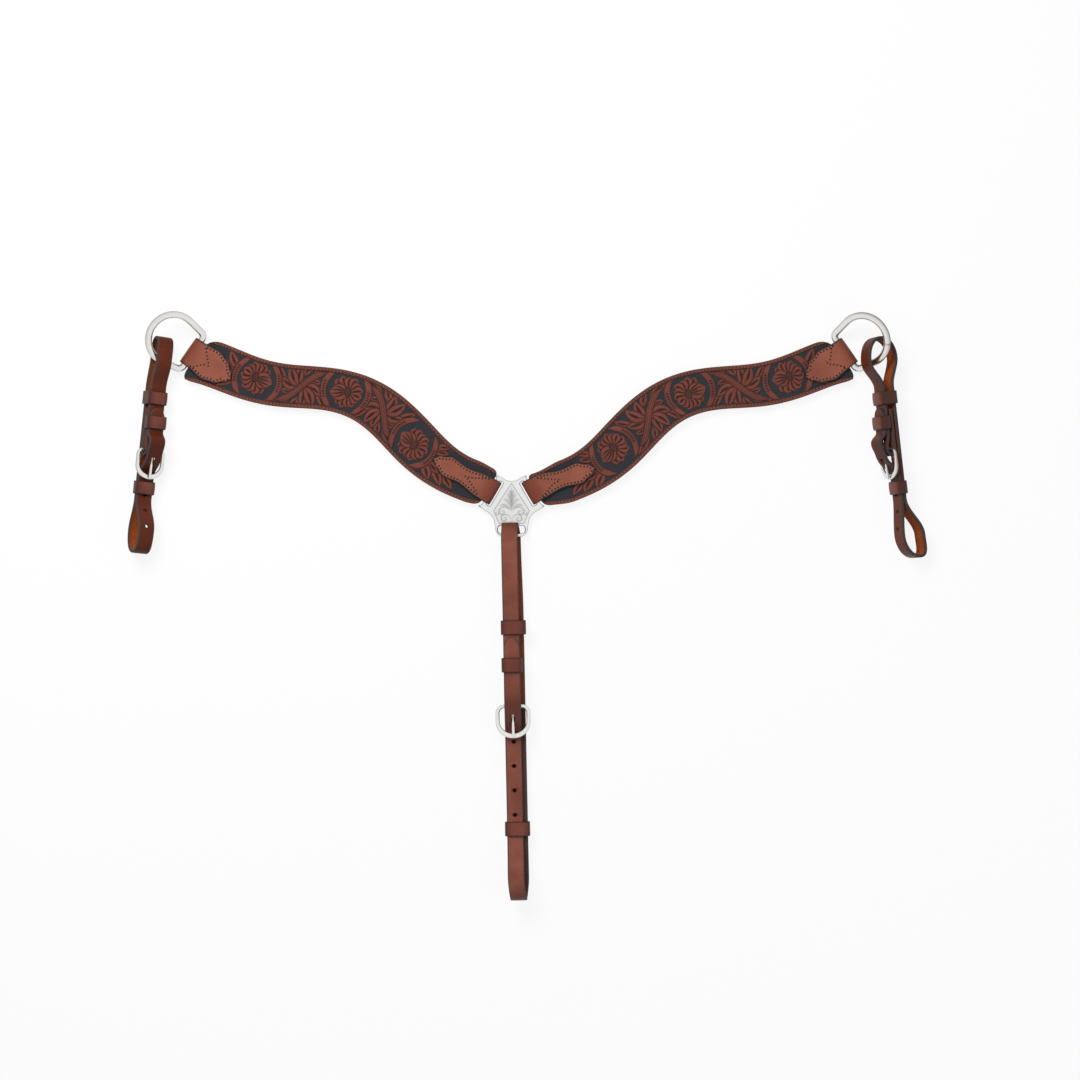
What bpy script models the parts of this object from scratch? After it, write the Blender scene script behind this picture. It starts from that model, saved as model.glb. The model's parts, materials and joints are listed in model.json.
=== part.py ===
# Western breastplate (breast collar): two S-shaped leather panels joined by a three-slot
# plate, a D-ring at each outer end, and three buckled straps looped on the rings and plate.
# It lies on a level surface with its front up: X to the wearer's left, Y up the chest, Z off the surface.
import math

import bpy
from mathutils import Matrix, Vector

for leftover in list(bpy.data.objects):
    bpy.data.objects.remove(leftover, do_unlink=True)

# Driving dimensions, in metres (angles in degrees)
GAP = 0.0003                    # air between pieces that touch

PANEL_FRONT_THICKNESS = 0.0034
PANEL_LINING_THICKNESS = 0.0020
PANEL_INNER_WIDTH = 0.0400      # width where the panel meets the plate
PANEL_SHOULDER_WIDTH = 0.0500   # width a little way from the plate
PANEL_BEND_WIDTH = 0.0578       # width in the steep part of the S curve
PANEL_WIDTH = 0.0490            # width of the straighter outer half
PANEL_OUTER_WIDTH = 0.0532      # width at the D-ring
PANEL_HEADING = 34.5            # heading of the S curve at the plate, before its swing
PANEL_DRIFT = -19.7             # change of the mean heading over PANEL_DRIFT_LENGTH
PANEL_DRIFT_LENGTH = 0.400
PANEL_SWING = 18.1              # swing of the heading about its mean
PANEL_WAVE = 0.257              # length of one full swing
PANEL_CREST = 0.129             # where along the curve the heading is steepest
PANEL_END_TURN = -27.6          # turn of the heading over the last 0.1 m, at the ring
PANEL_START = (0.0223, 0.0207)  # start of the curve beside the plate's bar
PANEL_CORNER = 0.008            # how far back its corners are rounded
PANEL_REACH = {"left": -0.0085, "right": 0.0085}  # the right panel is cut a little longer

TAB_THICKNESS = 0.0024
PLATE_TAB_LENGTH = 0.0770
PLATE_TAB_WIDTH = 0.0290
PLATE_TAB_BACK_LENGTH = 0.0480
RING_TAB_LENGTH = 0.0540
RING_TAB_WIDTH = 0.0350
RING_TAB_BACK_LENGTH = 0.0400
TAB_LEAN_BEND = 0.020           # length over which a leaning leaf bends away from its fold
TAB_LEANS = {"left_plate": 0.0, "left_ring": 0.0, "right_plate": 12.0, "right_ring": 5.0}

PLATE_THICKNESS = 0.0035
PLATE_BAR_TURN = 30.0           # slant of the upper slots from vertical
PLATE_BAR_CENTRE = (0.0231, 0.0188)
PLATE_BAR_WIDTH = 0.0042
PLATE_SLOT_LENGTH = 0.0312
PLATE_SLOT_WIDTH = 0.0052
PLATE_BOTTOM_BAR = -0.0313      # height of the bottom bar's centre
PLATE_BOTTOM_SLOT_LENGTH = 0.0310
PLATE_BOTTOM_SLOT_WIDTH = 0.0088

RING_STOCK = 0.0080
RING_RADIUS = 0.0285            # centre line of the round part
RING_RISE = 0.0290              # from the bar to the centre of the round part
RING_BAR = 0.0480               # centre-line length of the straight bar
RING_BAR_CENTRE = (0.3750, 0.1785)
RING_TURN = 35.0                # heading of the ring tab

STRAP_WIDTH = 0.0190            # three-quarter-inch strap
STRAP_THICKNESS = 0.0036
LAYER_GAP = 0.0004              # air between layers of one strap
TIP_LENGTH = 0.0130             # length of the pointed tip
HOLE_DIAMETER = 0.0044
HOLE_LENGTH = 0.0112            # buckled hole, drawn out by the tongue
TONGUE_SLOT_WIDTH = 0.0056
TUG_LOOP_RISE = 0.0260          # how far a tug's top loop stands inside its ring
BILLET_BULGE = 0.0045           # how far the buckled end stands off over the screw

KEEPER_THICKNESS = 0.0020
KEEPER_CLEARANCE = 0.0004

BUCKLE_BAR = 0.0042
BUCKLE_STOCK = 0.0052
BUCKLE_THICKNESS = 0.0034
TONGUE_DIAMETER = 0.0028

SCREW_SETBACK = 0.0108          # from the heel bar
SCREW_HEAD = 0.0080
SCREW_HEAD_THICKNESS = 0.0014
SCREW_BARREL = 0.0050

# Each strap: setbacks towards its ring or plate and reaches towards its bottom loop, both from
# the buckle's heel bar, and how the strap lies
STRAPS = {
    "left_tug": {
        "heel": 0.1030, "buckle_reach": 0.0305, "buckle_width": 0.0350, "keeper_width": 0.0150,
        "upper_keeper_setback": 0.0600, "middle_keeper_setback": 0.0320, "turn_end_setback": 0.0470,
        "tip_end_setback": 0.0490, "lower_keeper_reach": 0.0435, "bottom_reach": 0.1170,
        "hole_pitch": 0.0200, "hole_count": 4, "strand_shift": 0.0,
        "lean": 5.7, "roll": 34.0, "pitch": 1.4, "ring_angle": -62.0, "ring_tilt": 28.0,
        "loop_front": 0.0074, "loop_back": 0.0078, "low_shift": 0.0040},
    "right_tug": {
        "heel": 0.1030, "buckle_reach": 0.0305, "buckle_width": 0.0350, "keeper_width": 0.0150,
        "upper_keeper_setback": 0.0600, "middle_keeper_setback": 0.0320, "turn_end_setback": 0.0470,
        "tip_end_setback": 0.0490, "lower_keeper_reach": 0.0435, "bottom_reach": 0.1240,
        "hole_pitch": 0.0200, "hole_count": 4, "strand_shift": 0.0,
        "lean": 6.4, "roll": 66.0, "pitch": 0.1, "ring_angle": -60.0, "ring_tilt": 35.0,
        "loop_front": 0.0134, "loop_back": 0.0215, "low_shift": -0.0160},
    "center_strap": {
        "heel": 0.1960, "buckle_reach": 0.0340, "buckle_width": 0.0400, "keeper_width": 0.0165,
        "upper_keeper_setback": 0.0900, "middle_keeper_setback": 0.0470, "turn_end_setback": 0.0730,
        "tip_end_setback": 0.0780, "lower_keeper_reach": 0.1410, "bottom_reach": 0.2200,
        "hole_pitch": 0.0280, "hole_count": 4, "strand_shift": 0.0050,
        "lean": 1.2, "roll": 0.0, "pitch": 1.5},
}

# The same places as distances along the strap from the ring or plate bar
for lay in STRAPS.values():
    for place in ("upper_keeper", "middle_keeper", "turn_end", "tip_end"):
        lay[place] = lay["heel"] - lay[place + "_setback"]
    for place in ("lower_keeper", "bottom"):
        lay[place] = lay["heel"] + lay[place + "_reach"]

# Sizes that follow from the ones above
PANEL_WIDTHS = [(0.0, PANEL_INNER_WIDTH), (0.035, PANEL_SHOULDER_WIDTH), (0.120, PANEL_BEND_WIDTH),
                (0.250, PANEL_WIDTH), (0.370, PANEL_OUTER_WIDTH)]  # at distances along the curve
STACK = PANEL_FRONT_THICKNESS + PANEL_LINING_THICKNESS + 3.0 * GAP
TAB_LEG = STACK / 2.0 + TAB_THICKNESS / 2.0
RING_LOOP = RING_STOCK / 2.0 + GAP + TAB_THICKNESS / 2.0
LAYER = STRAP_THICKNESS + LAYER_GAP
TURN_LEVEL = STRAP_THICKNESS + SCREW_HEAD_THICKNESS + 3.6 * GAP
FRONT_LEVEL = TURN_LEVEL + STRAP_THICKNESS + 2.0 * KEEPER_CLEARANCE + KEEPER_THICKNESS
TIP_LEVEL = FRONT_LEVEL + LAYER
FOLD_RADIUS = BUCKLE_BAR / 2.0 + STRAP_THICKNESS / 2.0 + 0.0011
HEEL_LEVEL = TURN_LEVEL + FOLD_RADIUS
OVER_LEVEL = HEEL_LEVEL + FOLD_RADIUS + LAYER
EYE_RADIUS = math.hypot(BUCKLE_BAR, BUCKLE_THICKNESS) / 2.0 + GAP + TONGUE_DIAMETER / 2.0

SIDES = {"left": -1.0, "right": 1.0}
STATION_STEPS = 24              # points drawn between two stations of a strap

assembly = bpy.data.collections.new("breastplate")
cutters = bpy.data.collections.new("breastplate_cutters")
bpy.context.scene.collection.children.link(assembly)
bpy.context.scene.collection.children.link(cutters)


def make_material(name, color, metallic, roughness):
    material = bpy.data.materials.new(name)
    material.use_nodes = True
    shader = material.node_tree.nodes["Principled BSDF"]
    shader.inputs["Base Color"].default_value = (*color, 1.0)
    shader.inputs["Metallic"].default_value = metallic
    shader.inputs["Roughness"].default_value = roughness
    return material


PAINTS = {
    "tooled": ((0.10, 0.05, 0.035), 0.0, 0.50),
    "lining": ((0.30, 0.15, 0.07), 0.0, 0.70),
    "tab": ((0.24, 0.10, 0.06), 0.0, 0.50),
    "strap": ((0.26, 0.11, 0.065), 0.0, 0.52),
    "keeper": ((0.18, 0.07, 0.045), 0.0, 0.50),
    "silver": ((0.72, 0.70, 0.67), 1.0, 0.25),
    "steel": ((0.60, 0.60, 0.60), 1.0, 0.30),
}


def add_piece(name, data, placing, paint, carrier=None):
    piece = bpy.data.objects.new(name, data)
    assembly.objects.link(piece)
    piece.parent = carrier
    piece.matrix_world = placing
    color, metallic, roughness = PAINTS[paint]
    data.materials.clear()
    data.materials.append(make_material(name + "_" + paint, color, metallic, roughness))
    return piece


# An empty on a panel's hinge, the plate's bar, which carries the panel's pieces
def add_pivot(side):
    pivot = bpy.data.objects.new(side + "_panel_pivot", None)
    assembly.objects.link(pivot)
    pivot.matrix_world = Matrix.Translation((SIDES[side] * PLATE_BAR_CENTRE[0], PLATE_BAR_CENTRE[1], 0.0))
    return pivot


def add_cutter(name, data, placing):
    cutter = bpy.data.objects.new(name, data)
    cutters.objects.link(cutter)
    cutter.matrix_world = placing
    cutter.hide_render = True
    cutter.display_type = "WIRE"
    return cutter


# A placing matrix from an origin and two axes at right angles
def axes_matrix(origin, x_axis, y_axis):
    x_axis = Vector(x_axis).normalized()
    y_axis = Vector(y_axis)
    y_axis = (y_axis - x_axis * y_axis.dot(x_axis)).normalized()
    z_axis = x_axis.cross(y_axis)
    matrix = Matrix((x_axis, y_axis, z_axis)).transposed().to_4x4()
    matrix.translation = Vector(origin)
    return matrix


# A flat plate between outlines: the first loop is the rim, the others are holes
def flat_curve(name, loops, thickness, chamfer=0.0):
    curve = bpy.data.curves.new(name, "CURVE")
    curve.dimensions = "2D"
    curve.fill_mode = "BOTH"
    curve.extrude = thickness / 2.0 - chamfer
    curve.bevel_depth = chamfer
    curve.bevel_resolution = 0
    curve.offset = -chamfer
    for loop in loops:
        spline = curve.splines.new("POLY")
        spline.points.add(len(loop) - 1)
        for point, place in zip(spline.points, loop):
            point.co = (place[0], place[1], 0.0, 1.0)
        spline.use_cyclic_u = True
    return curve


# A round bar along a path, with its own thickness at each point
def rod_curve(name, path, radius, scales, cyclic, sides):
    curve = bpy.data.curves.new(name, "CURVE")
    curve.dimensions = "3D"
    curve.twist_mode = "MINIMUM"
    curve.bevel_depth = radius
    curve.bevel_resolution = sides // 4 - 1
    curve.use_fill_caps = True
    spline = curve.splines.new("POLY")
    spline.points.add(len(path) - 1)
    for point, place, scale in zip(spline.points, path, scales):
        point.co = (*place, 1.0)
        point.radius = scale
    spline.use_cyclic_u = cyclic
    return curve


# A strip of leather that follows a path in its own X-Y plane, its width along Z
def strip_curve(name, path, half_widths):
    widest = max(half_widths)
    curve = bpy.data.curves.new(name, "CURVE")
    curve.dimensions = "3D"
    curve.twist_mode = "Z_UP"
    curve.extrude = widest
    spline = curve.splines.new("POLY")
    spline.points.add(len(path) - 1)
    for point, place, half in zip(spline.points, path, half_widths):
        point.co = (*place, 1.0)
        point.radius = half / widest
    return curve


def thicken(piece, thickness):
    solid = piece.modifiers.new("thickness", "SOLIDIFY")
    solid.thickness = thickness
    solid.offset = 0.0
    solid.use_even_offset = True
    return solid


# The finished mesh of a curve and its modifiers, so that holes can be cut in it
def baked_mesh(piece):
    depsgraph = bpy.context.evaluated_depsgraph_get()
    return bpy.data.meshes.new_from_object(piece.evaluated_get(depsgraph))


# A smooth run through stations (along, out, across, heading in degrees)
def station_run(stations):
    points = []
    for first, last in zip(stations, stations[1:]):
        a = Vector(first[:3])
        b = Vector(last[:3])
        turn = abs(last[3] - first[3])
        pull = (b.xy - a.xy).length * (1.0 + 0.17 * (turn / 90.0) ** 2)
        from_heading = math.radians(first[3])
        to_heading = math.radians(last[3])
        start_pull = Vector((math.cos(from_heading), math.sin(from_heading), 0.0)) * pull
        end_pull = Vector((math.cos(to_heading), math.sin(to_heading), 0.0)) * pull
        for step in range(STATION_STEPS):
            t = step / STATION_STEPS
            place = (a * (2 * t ** 3 - 3 * t ** 2 + 1) + start_pull * (t ** 3 - 2 * t ** 2 + t)
                     + b * (3 * t ** 2 - 2 * t ** 3) + end_pull * (t ** 3 - t ** 2))
            points.append(place)
    points.append(Vector(stations[-1][:3]))
    return points


def run_lengths(points):
    lengths = [0.0]
    for a, b in zip(points, points[1:]):
        lengths.append(lengths[-1] + (b - a).length)
    return lengths


# Fewer points where the run is straight, more where it bends; every station is kept
def thin_run(points, limit, keep):
    lengths = run_lengths(points)
    kept = [0]
    bent = 0.0
    for i in range(1, len(points) - 1):
        bent += (points[i] - points[i - 1]).angle(points[i + 1] - points[i], 0.0)
        wanted = any(lengths[i] <= place < lengths[i + 1] for place in keep)
        if bent > math.radians(limit) or wanted or i % STATION_STEPS == 0:
            kept.append(i)
            bent = 0.0
    kept.append(len(points) - 1)
    return [points[i] for i in kept]


# Place, direction and outward face of a strap at a distance along it
def run_frame(points, distance):
    lengths = run_lengths(points)
    for i in range(len(points) - 1):
        if lengths[i + 1] >= distance:
            break
    share = (distance - lengths[i]) / (lengths[i + 1] - lengths[i])
    place = points[i].lerp(points[i + 1], share)
    along = points[i + 1] - points[i]
    along.z = 0.0
    along.normalize()
    across = Vector((0.0, 0.0, 1.0))
    return axes_matrix(place, along, across.cross(along))


# Distance along the run where it comes nearest to a place
def run_distance(points, place, start, end):
    lengths = run_lengths(points)
    best = None
    for point, length in zip(points, lengths):
        if start <= length <= end:
            off = (point.xy - Vector(place)).length
            if best is None or off < best[0]:
                best = (off, length)
    return best[1]


def arc_points(centre, radius, start, end, count):
    turns = [math.radians(start + (end - start) * i / (count - 1)) for i in range(count)]
    return [(centre[0] + radius * math.cos(turn), centre[1] + radius * math.sin(turn)) for turn in turns]


def round_box(width, height, radius, steps):
    x = width / 2.0 - radius
    y = height / 2.0 - radius
    points = []
    for centre, start in (((x, y), 0.0), ((-x, y), 90.0), ((-x, -y), 180.0), ((x, -y), 270.0)):
        points += arc_points(centre, radius, start, start + 90.0, steps)
    return points


# Outline with its listed corners rounded
def round_corners(points, corners, radius):
    rounded = []
    count = len(points)
    for i, point in enumerate(points):
        if i not in corners:
            rounded.append(point)
            continue
        here = Vector(point)
        before = (Vector(points[i - 1]) - here)
        after = (Vector(points[(i + 1) % count]) - here)
        reach = min(radius, 0.8 * before.length, 0.8 * after.length)
        a = here + before.normalized() * reach
        b = here + after.normalized() * reach
        for t in (0.0, 0.25, 0.5, 0.75, 1.0):
            place = a * (1 - t) ** 2 + here * 2 * t * (1 - t) + b * t ** 2
            rounded.append((place.x, place.y))
    return rounded


# A width at a place along a piece, blended between named places
def blend(places, share):
    for (x0, y0), (x1, y1) in zip(places, places[1:]):
        if share <= x1:
            t = (share - x0) / (x1 - x0)
            t = t * t * (3.0 - 2.0 * t)
            return y0 + (y1 - y0) * t
    return places[-1][1]


# PANELS
# Centre line of a panel from its heading, which swings about a mean as it leaves the plate
def panel_heading(distance):
    wave = math.cos(2.0 * math.pi * (distance - PANEL_CREST) / PANEL_WAVE)
    end = max(0.0, distance - PANEL_DRIFT_LENGTH + 0.100) / 0.100
    heading = PANEL_HEADING + PANEL_DRIFT * distance / PANEL_DRIFT_LENGTH
    return math.radians(heading + PANEL_SWING * wave + PANEL_END_TURN * end * end)


def panel_edges(reach):
    step = 0.008
    place = Vector(PANEL_START) + Vector((reach, 0.0))
    heading = panel_heading(-0.020)
    place = place - Vector((math.cos(heading), math.sin(heading))) * 0.020
    distance = -0.020
    upper = []
    lower = []
    while distance < PANEL_DRIFT_LENGTH + 0.040:
        heading = panel_heading(distance)
        side = Vector((-math.sin(heading), math.cos(heading)))
        half = blend(PANEL_WIDTHS, max(0.0, distance)) / 2.0
        upper.append(place + side * half)
        lower.append(place - side * half)
        middle = panel_heading(distance + step / 2.0)
        place = place + Vector((math.cos(middle), math.sin(middle))) * step
        distance += step
    return upper, lower


# The part of an edge between two cut lines, each given by a place and a facing direction
def clip_edge(edge, place, facing):
    clipped = []
    for a, b in zip(edge, edge[1:]):
        from_a = (a - place).dot(facing)
        from_b = (b - place).dot(facing)
        if from_a >= 0.0:
            clipped.append(a)
        if (from_a >= 0.0) != (from_b >= 0.0):
            clipped.append(a.lerp(b, from_a / (from_a - from_b)))
    if (edge[-1] - place).dot(facing) >= 0.0:
        clipped.append(edge[-1])
    return clipped


# An edge without the points too near its ends for round corners
def clear_ends(edge):
    room = PANEL_CORNER * 1.26
    middle = [point for point in edge[1:-1]
              if (point - edge[0]).length > room and (point - edge[-1]).length > room]
    return [edge[0]] + middle + [edge[-1]]


def direction(heading):
    return Vector((math.cos(math.radians(heading)), math.sin(math.radians(heading))))


def panel_outline(reach):
    inner_facing = direction(PLATE_BAR_TURN)
    inner_cut = Vector(PLATE_BAR_CENTRE) + inner_facing * (PLATE_BAR_WIDTH / 2.0 + 0.0022)
    outer_facing = direction(RING_TURN)
    outer_cut = Vector(RING_BAR_CENTRE) + Vector((reach, 0.0)) - outer_facing * (RING_STOCK / 2.0 + 0.0014)
    upper, lower = panel_edges(reach)
    upper = clip_edge(clip_edge(upper, inner_cut, inner_facing), outer_cut, -outer_facing)
    lower = clip_edge(clip_edge(lower, inner_cut, inner_facing), outer_cut, -outer_facing)
    lower = clear_ends(lower)
    upper = clear_ends(upper)
    outline = [tuple(point) for point in lower] + [tuple(point) for point in reversed(upper)]
    corners = {0, len(lower) - 1, len(lower), len(outline) - 1}
    return round_corners(outline, corners, PANEL_CORNER)


def build_panels(pivots):
    for side, sign in SIDES.items():
        outline = panel_outline(PANEL_REACH[side])
        shape = [(sign * x, y) for x, y in outline]
        base = -STACK / 2.0 + GAP
        lining_level = base + PANEL_LINING_THICKNESS / 2.0
        front_level = base + PANEL_LINING_THICKNESS + GAP + PANEL_FRONT_THICKNESS / 2.0
        lining = flat_curve(side + "_panel_lining", [shape], PANEL_LINING_THICKNESS)
        front = flat_curve(side + "_panel", [shape], PANEL_FRONT_THICKNESS)
        add_piece(side + "_panel_lining", lining, Matrix.Translation((0.0, 0.0, lining_level)), "lining",
                  pivots[side])
        add_piece(side + "_panel", front, Matrix.Translation((0.0, 0.0, front_level)), "tooled", pivots[side])


# TABS
# Sideways place of a leaning tab, which leaves its fold square to the bar and then bends away
def lean_offset(along, neck, lean):
    rest = max(0.0, along - neck)
    bent = min(rest, TAB_LEAN_BEND)
    return math.tan(math.radians(lean)) * (bent * bent / (2.0 * TAB_LEAN_BEND) + rest - bent)


# A tab's path: along the front to the fold, round the bar, and along the back
def tab_run(length, back_length, leg, loop, neck, lean):
    path = []
    shares = []
    steps = 12
    for i in range(steps):
        share = 1.0 - (i / steps) ** 0.8
        along = neck + (length - neck) * share
        path.append((along, leg, lean_offset(along, neck, lean)))
        shares.append(along / length)
    if loop > leg:
        path.append((neck * 0.55, leg + (loop - leg) * 0.55, 0.0))
        shares.append(neck * 0.55 / length)
    for x, y in arc_points((0.0, 0.0), loop, 90.0, 270.0, 11):
        path.append((x, y, 0.0))
        shares.append(0.0)
    if loop > leg:
        path.append((neck * 0.55, -leg - (loop - leg) * 0.55, 0.0))
        shares.append(-neck * 0.55 / back_length)
    for i in range(7):
        along = neck + (back_length - neck) * math.sin(math.pi / 2.0 * i / 6.0)
        path.append((along, -leg, lean_offset(along, neck, lean)))
        shares.append(-along / back_length)
    return path, shares


def tab_widths(shares, front_places, back_width, point):
    halves = []
    for share in shares:
        if share >= 0.0:
            halves.append(max(blend(front_places, share), point))
        else:
            rest = max(0.0, -share - 0.55) / 0.45
            halves.append(back_width * (1.0 - 0.5 * rest ** 3))
    return halves


# Leaf outlines, as half widths at shares of the tab's length
PLATE_TAB_SHAPE = [(0.0, 1.0), (0.14, 0.98), (0.50, 0.72), (0.74, 0.86), (0.90, 0.52), (1.0, 0.03)]
RING_TAB_SHAPE = [(0.0, 0.96), (0.12, 0.98), (0.46, 1.10), (0.72, 0.88), (0.90, 0.44), (1.0, 0.03)]


def build_tabs(pivots):
    kinds = (("plate", PLATE_BAR_CENTRE, PLATE_BAR_TURN, 1.0, PLATE_TAB_LENGTH, PLATE_TAB_BACK_LENGTH,
              PLATE_TAB_WIDTH, PLATE_TAB_SHAPE, TAB_LEG),
             ("ring", RING_BAR_CENTRE, RING_TURN, -1.0, RING_TAB_LENGTH, RING_TAB_BACK_LENGTH,
              RING_TAB_WIDTH, RING_TAB_SHAPE, RING_LOOP))
    for side, sign in SIDES.items():
        for kind, centre, turn, way, length, back_length, width, shape, loop in kinds:
            neck = 0.006 if loop <= TAB_LEG else 0.0135
            lean = TAB_LEANS[side + "_" + kind]
            path, shares = tab_run(length, back_length, TAB_LEG, loop, neck, lean)
            places = [(share, half * width / 2.0) for share, half in shape]
            halves = tab_widths(shares, places, width / 2.0, 0.0006)
            name = side + "_" + kind + "_tab"
            facing = direction(turn) * way
            reach = PANEL_REACH[side] if kind == "ring" else 0.0
            place = (sign * (centre[0] + reach), centre[1], 0.0)
            placing = axes_matrix(place, (sign * facing.x, facing.y, 0.0), (0.0, 0.0, 1.0))
            tab = add_piece(name, strip_curve(name, path, halves), placing, "tab", pivots[side])
            thicken(tab, TAB_THICKNESS)


# CENTRE PLATE
def turned(points, centre, heading, sign):
    out = direction(heading)
    along = Vector((out.y, -out.x))
    return [(sign * (centre[0] + along.x * x + out.x * y), centre[1] + along.y * x + out.y * y)
            for x, y in points]


def build_plate():
    half_slot = PLATE_SLOT_LENGTH / 2.0
    horn = half_slot + 0.0042
    bar = PLATE_BAR_WIDTH / 2.0
    # right half of the rim, from the middle of the top to the middle of the bottom
    horns = turned([(-horn - 0.0006, -bar - 0.0005), (-horn + 0.0006, bar + 0.0006), (-half_slot, bar),
                    (half_slot, bar), (horn - 0.0008, bar + 0.0012), (horn + 0.0030, bar + 0.0010),
                    (horn + 0.0028, -bar)], PLATE_BAR_CENTRE, PLATE_BAR_TURN, 1.0)
    low = PLATE_BOTTOM_BAR - BUCKLE_BAR / 2.0
    side = PLATE_BOTTOM_SLOT_LENGTH / 2.0 + 0.0030
    top = PLATE_BAR_CENTRE[1] + 0.0122
    rim = [(0.0, top), (0.0060, top + 0.0006)] + horns
    rim += [(side + 0.0072, -0.0058), (side + 0.0030, -0.0105), (side + 0.0012, -0.0160),
            (side + 0.0004, -0.0220), (side - 0.0002, -0.0270), (side - 0.0028, low + 0.0022),
            (side - 0.0070, low + 0.0003), (0.0, low)]
    rim += [(-x, y) for x, y in reversed(rim[1:-1])]
    slot_centre = -bar - PLATE_SLOT_WIDTH / 2.0
    slot_box = round_box(PLATE_SLOT_LENGTH, PLATE_SLOT_WIDTH, 0.0016, 3)
    slot = [(x, y + slot_centre) for x, y in slot_box]
    loops = [rim]
    for sign in SIDES.values():
        loops.append(turned(slot, PLATE_BAR_CENTRE, PLATE_BAR_TURN, sign))
    bottom = PLATE_BOTTOM_BAR + BUCKLE_BAR / 2.0 + PLATE_BOTTOM_SLOT_WIDTH / 2.0
    bottom_box = round_box(PLATE_BOTTOM_SLOT_LENGTH, PLATE_BOTTOM_SLOT_WIDTH, 0.0036, 4)
    loops.append([(x, y + bottom) for x, y in bottom_box])
    add_piece("center_plate", flat_curve("center_plate", loops, PLATE_THICKNESS, 0.0004),
              Matrix.Identity(4), "silver")


# D-RINGS
def ring_path():
    half = RING_BAR / 2.0
    reach = math.hypot(half, RING_RISE)
    to_corner = 90.0 + math.degrees(math.atan2(RING_RISE, half))
    sweep = to_corner - math.degrees(math.acos(RING_RADIUS / reach))
    arc = arc_points((0.0, RING_RISE), RING_RADIUS, 90.0 - sweep, 90.0 + sweep, 25)
    outline = [(half, 0.0)] + arc + [(-half, 0.0)]
    corners = {0, len(outline) - 1}
    return round_corners(outline, corners, 0.0062)


def ring_matrix(name):
    side = name.split("_")[0]
    sign = SIDES[side]
    out = direction(RING_TURN)
    tilt = math.radians(STRAPS[name]["ring_tilt"])
    outward = Vector((sign * out.x * math.cos(tilt), out.y * math.cos(tilt), math.sin(tilt)))
    along = Vector((out.y, -sign * out.x, 0.0))
    bar = sign * (RING_BAR_CENTRE[0] + PANEL_REACH[side])
    return axes_matrix((bar, RING_BAR_CENTRE[1], 0.0), along, outward)


def build_rings():
    path = [(x, y, 0.0) for x, y in ring_path()]
    for side in SIDES:
        name = side + "_d_ring"
        curve = rod_curve(name, path, RING_STOCK / 2.0, [1.0] * len(path), True, 12)
        add_piece(name, curve, ring_matrix(side + "_tug"), "steel")


# STRAPS
# Where a tug crosses its ring, and the ring's own direction there
def ring_crossing(name):
    sign = SIDES[name.split("_")[0]]
    placing = ring_matrix(name)
    angle = STRAPS[name]["ring_angle"] - RING_TURN
    local = Vector((-sign * RING_RADIUS * math.sin(math.radians(angle)),
                    RING_RISE + RING_RADIUS * math.cos(math.radians(angle)), 0.0))
    tangent = Vector((math.cos(math.radians(angle)), sign * math.sin(math.radians(angle)), 0.0))
    return placing @ local, (placing.to_3x3() @ tangent).normalized()


# A strap's own frame: X down its length, Y out of its front, Z across its width
def strap_matrix(name):
    lay = STRAPS[name]
    sign = SIDES.get(name.split("_")[0], 1.0)
    lean = math.radians(lay["lean"])
    pitch = math.radians(lay["pitch"])
    roll = math.radians(lay["roll"])
    flat = Vector((sign * math.sin(lean), -math.cos(lean), 0.0))
    along = flat * math.cos(pitch) + Vector((0.0, 0.0, math.sin(pitch)))
    inward = Vector((-sign * math.cos(lean), -math.sin(lean), 0.0))
    front = Vector((0.0, 0.0, math.cos(roll))) + inward * math.sin(roll)
    if name == "center_strap":
        origin = Vector((0.0, PLATE_BOTTOM_BAR, 0.0))
    else:
        origin = ring_crossing(name)[0]
    return axes_matrix(origin, along, front)


# Level of the strap's back run below its frame's origin
def back_level(name):
    if name == "center_strap":
        return -(math.hypot(BUCKLE_BAR, PLATE_THICKNESS) / 2.0 + STRAP_THICKNESS / 2.0 + 0.0007)
    return -0.0125


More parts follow.
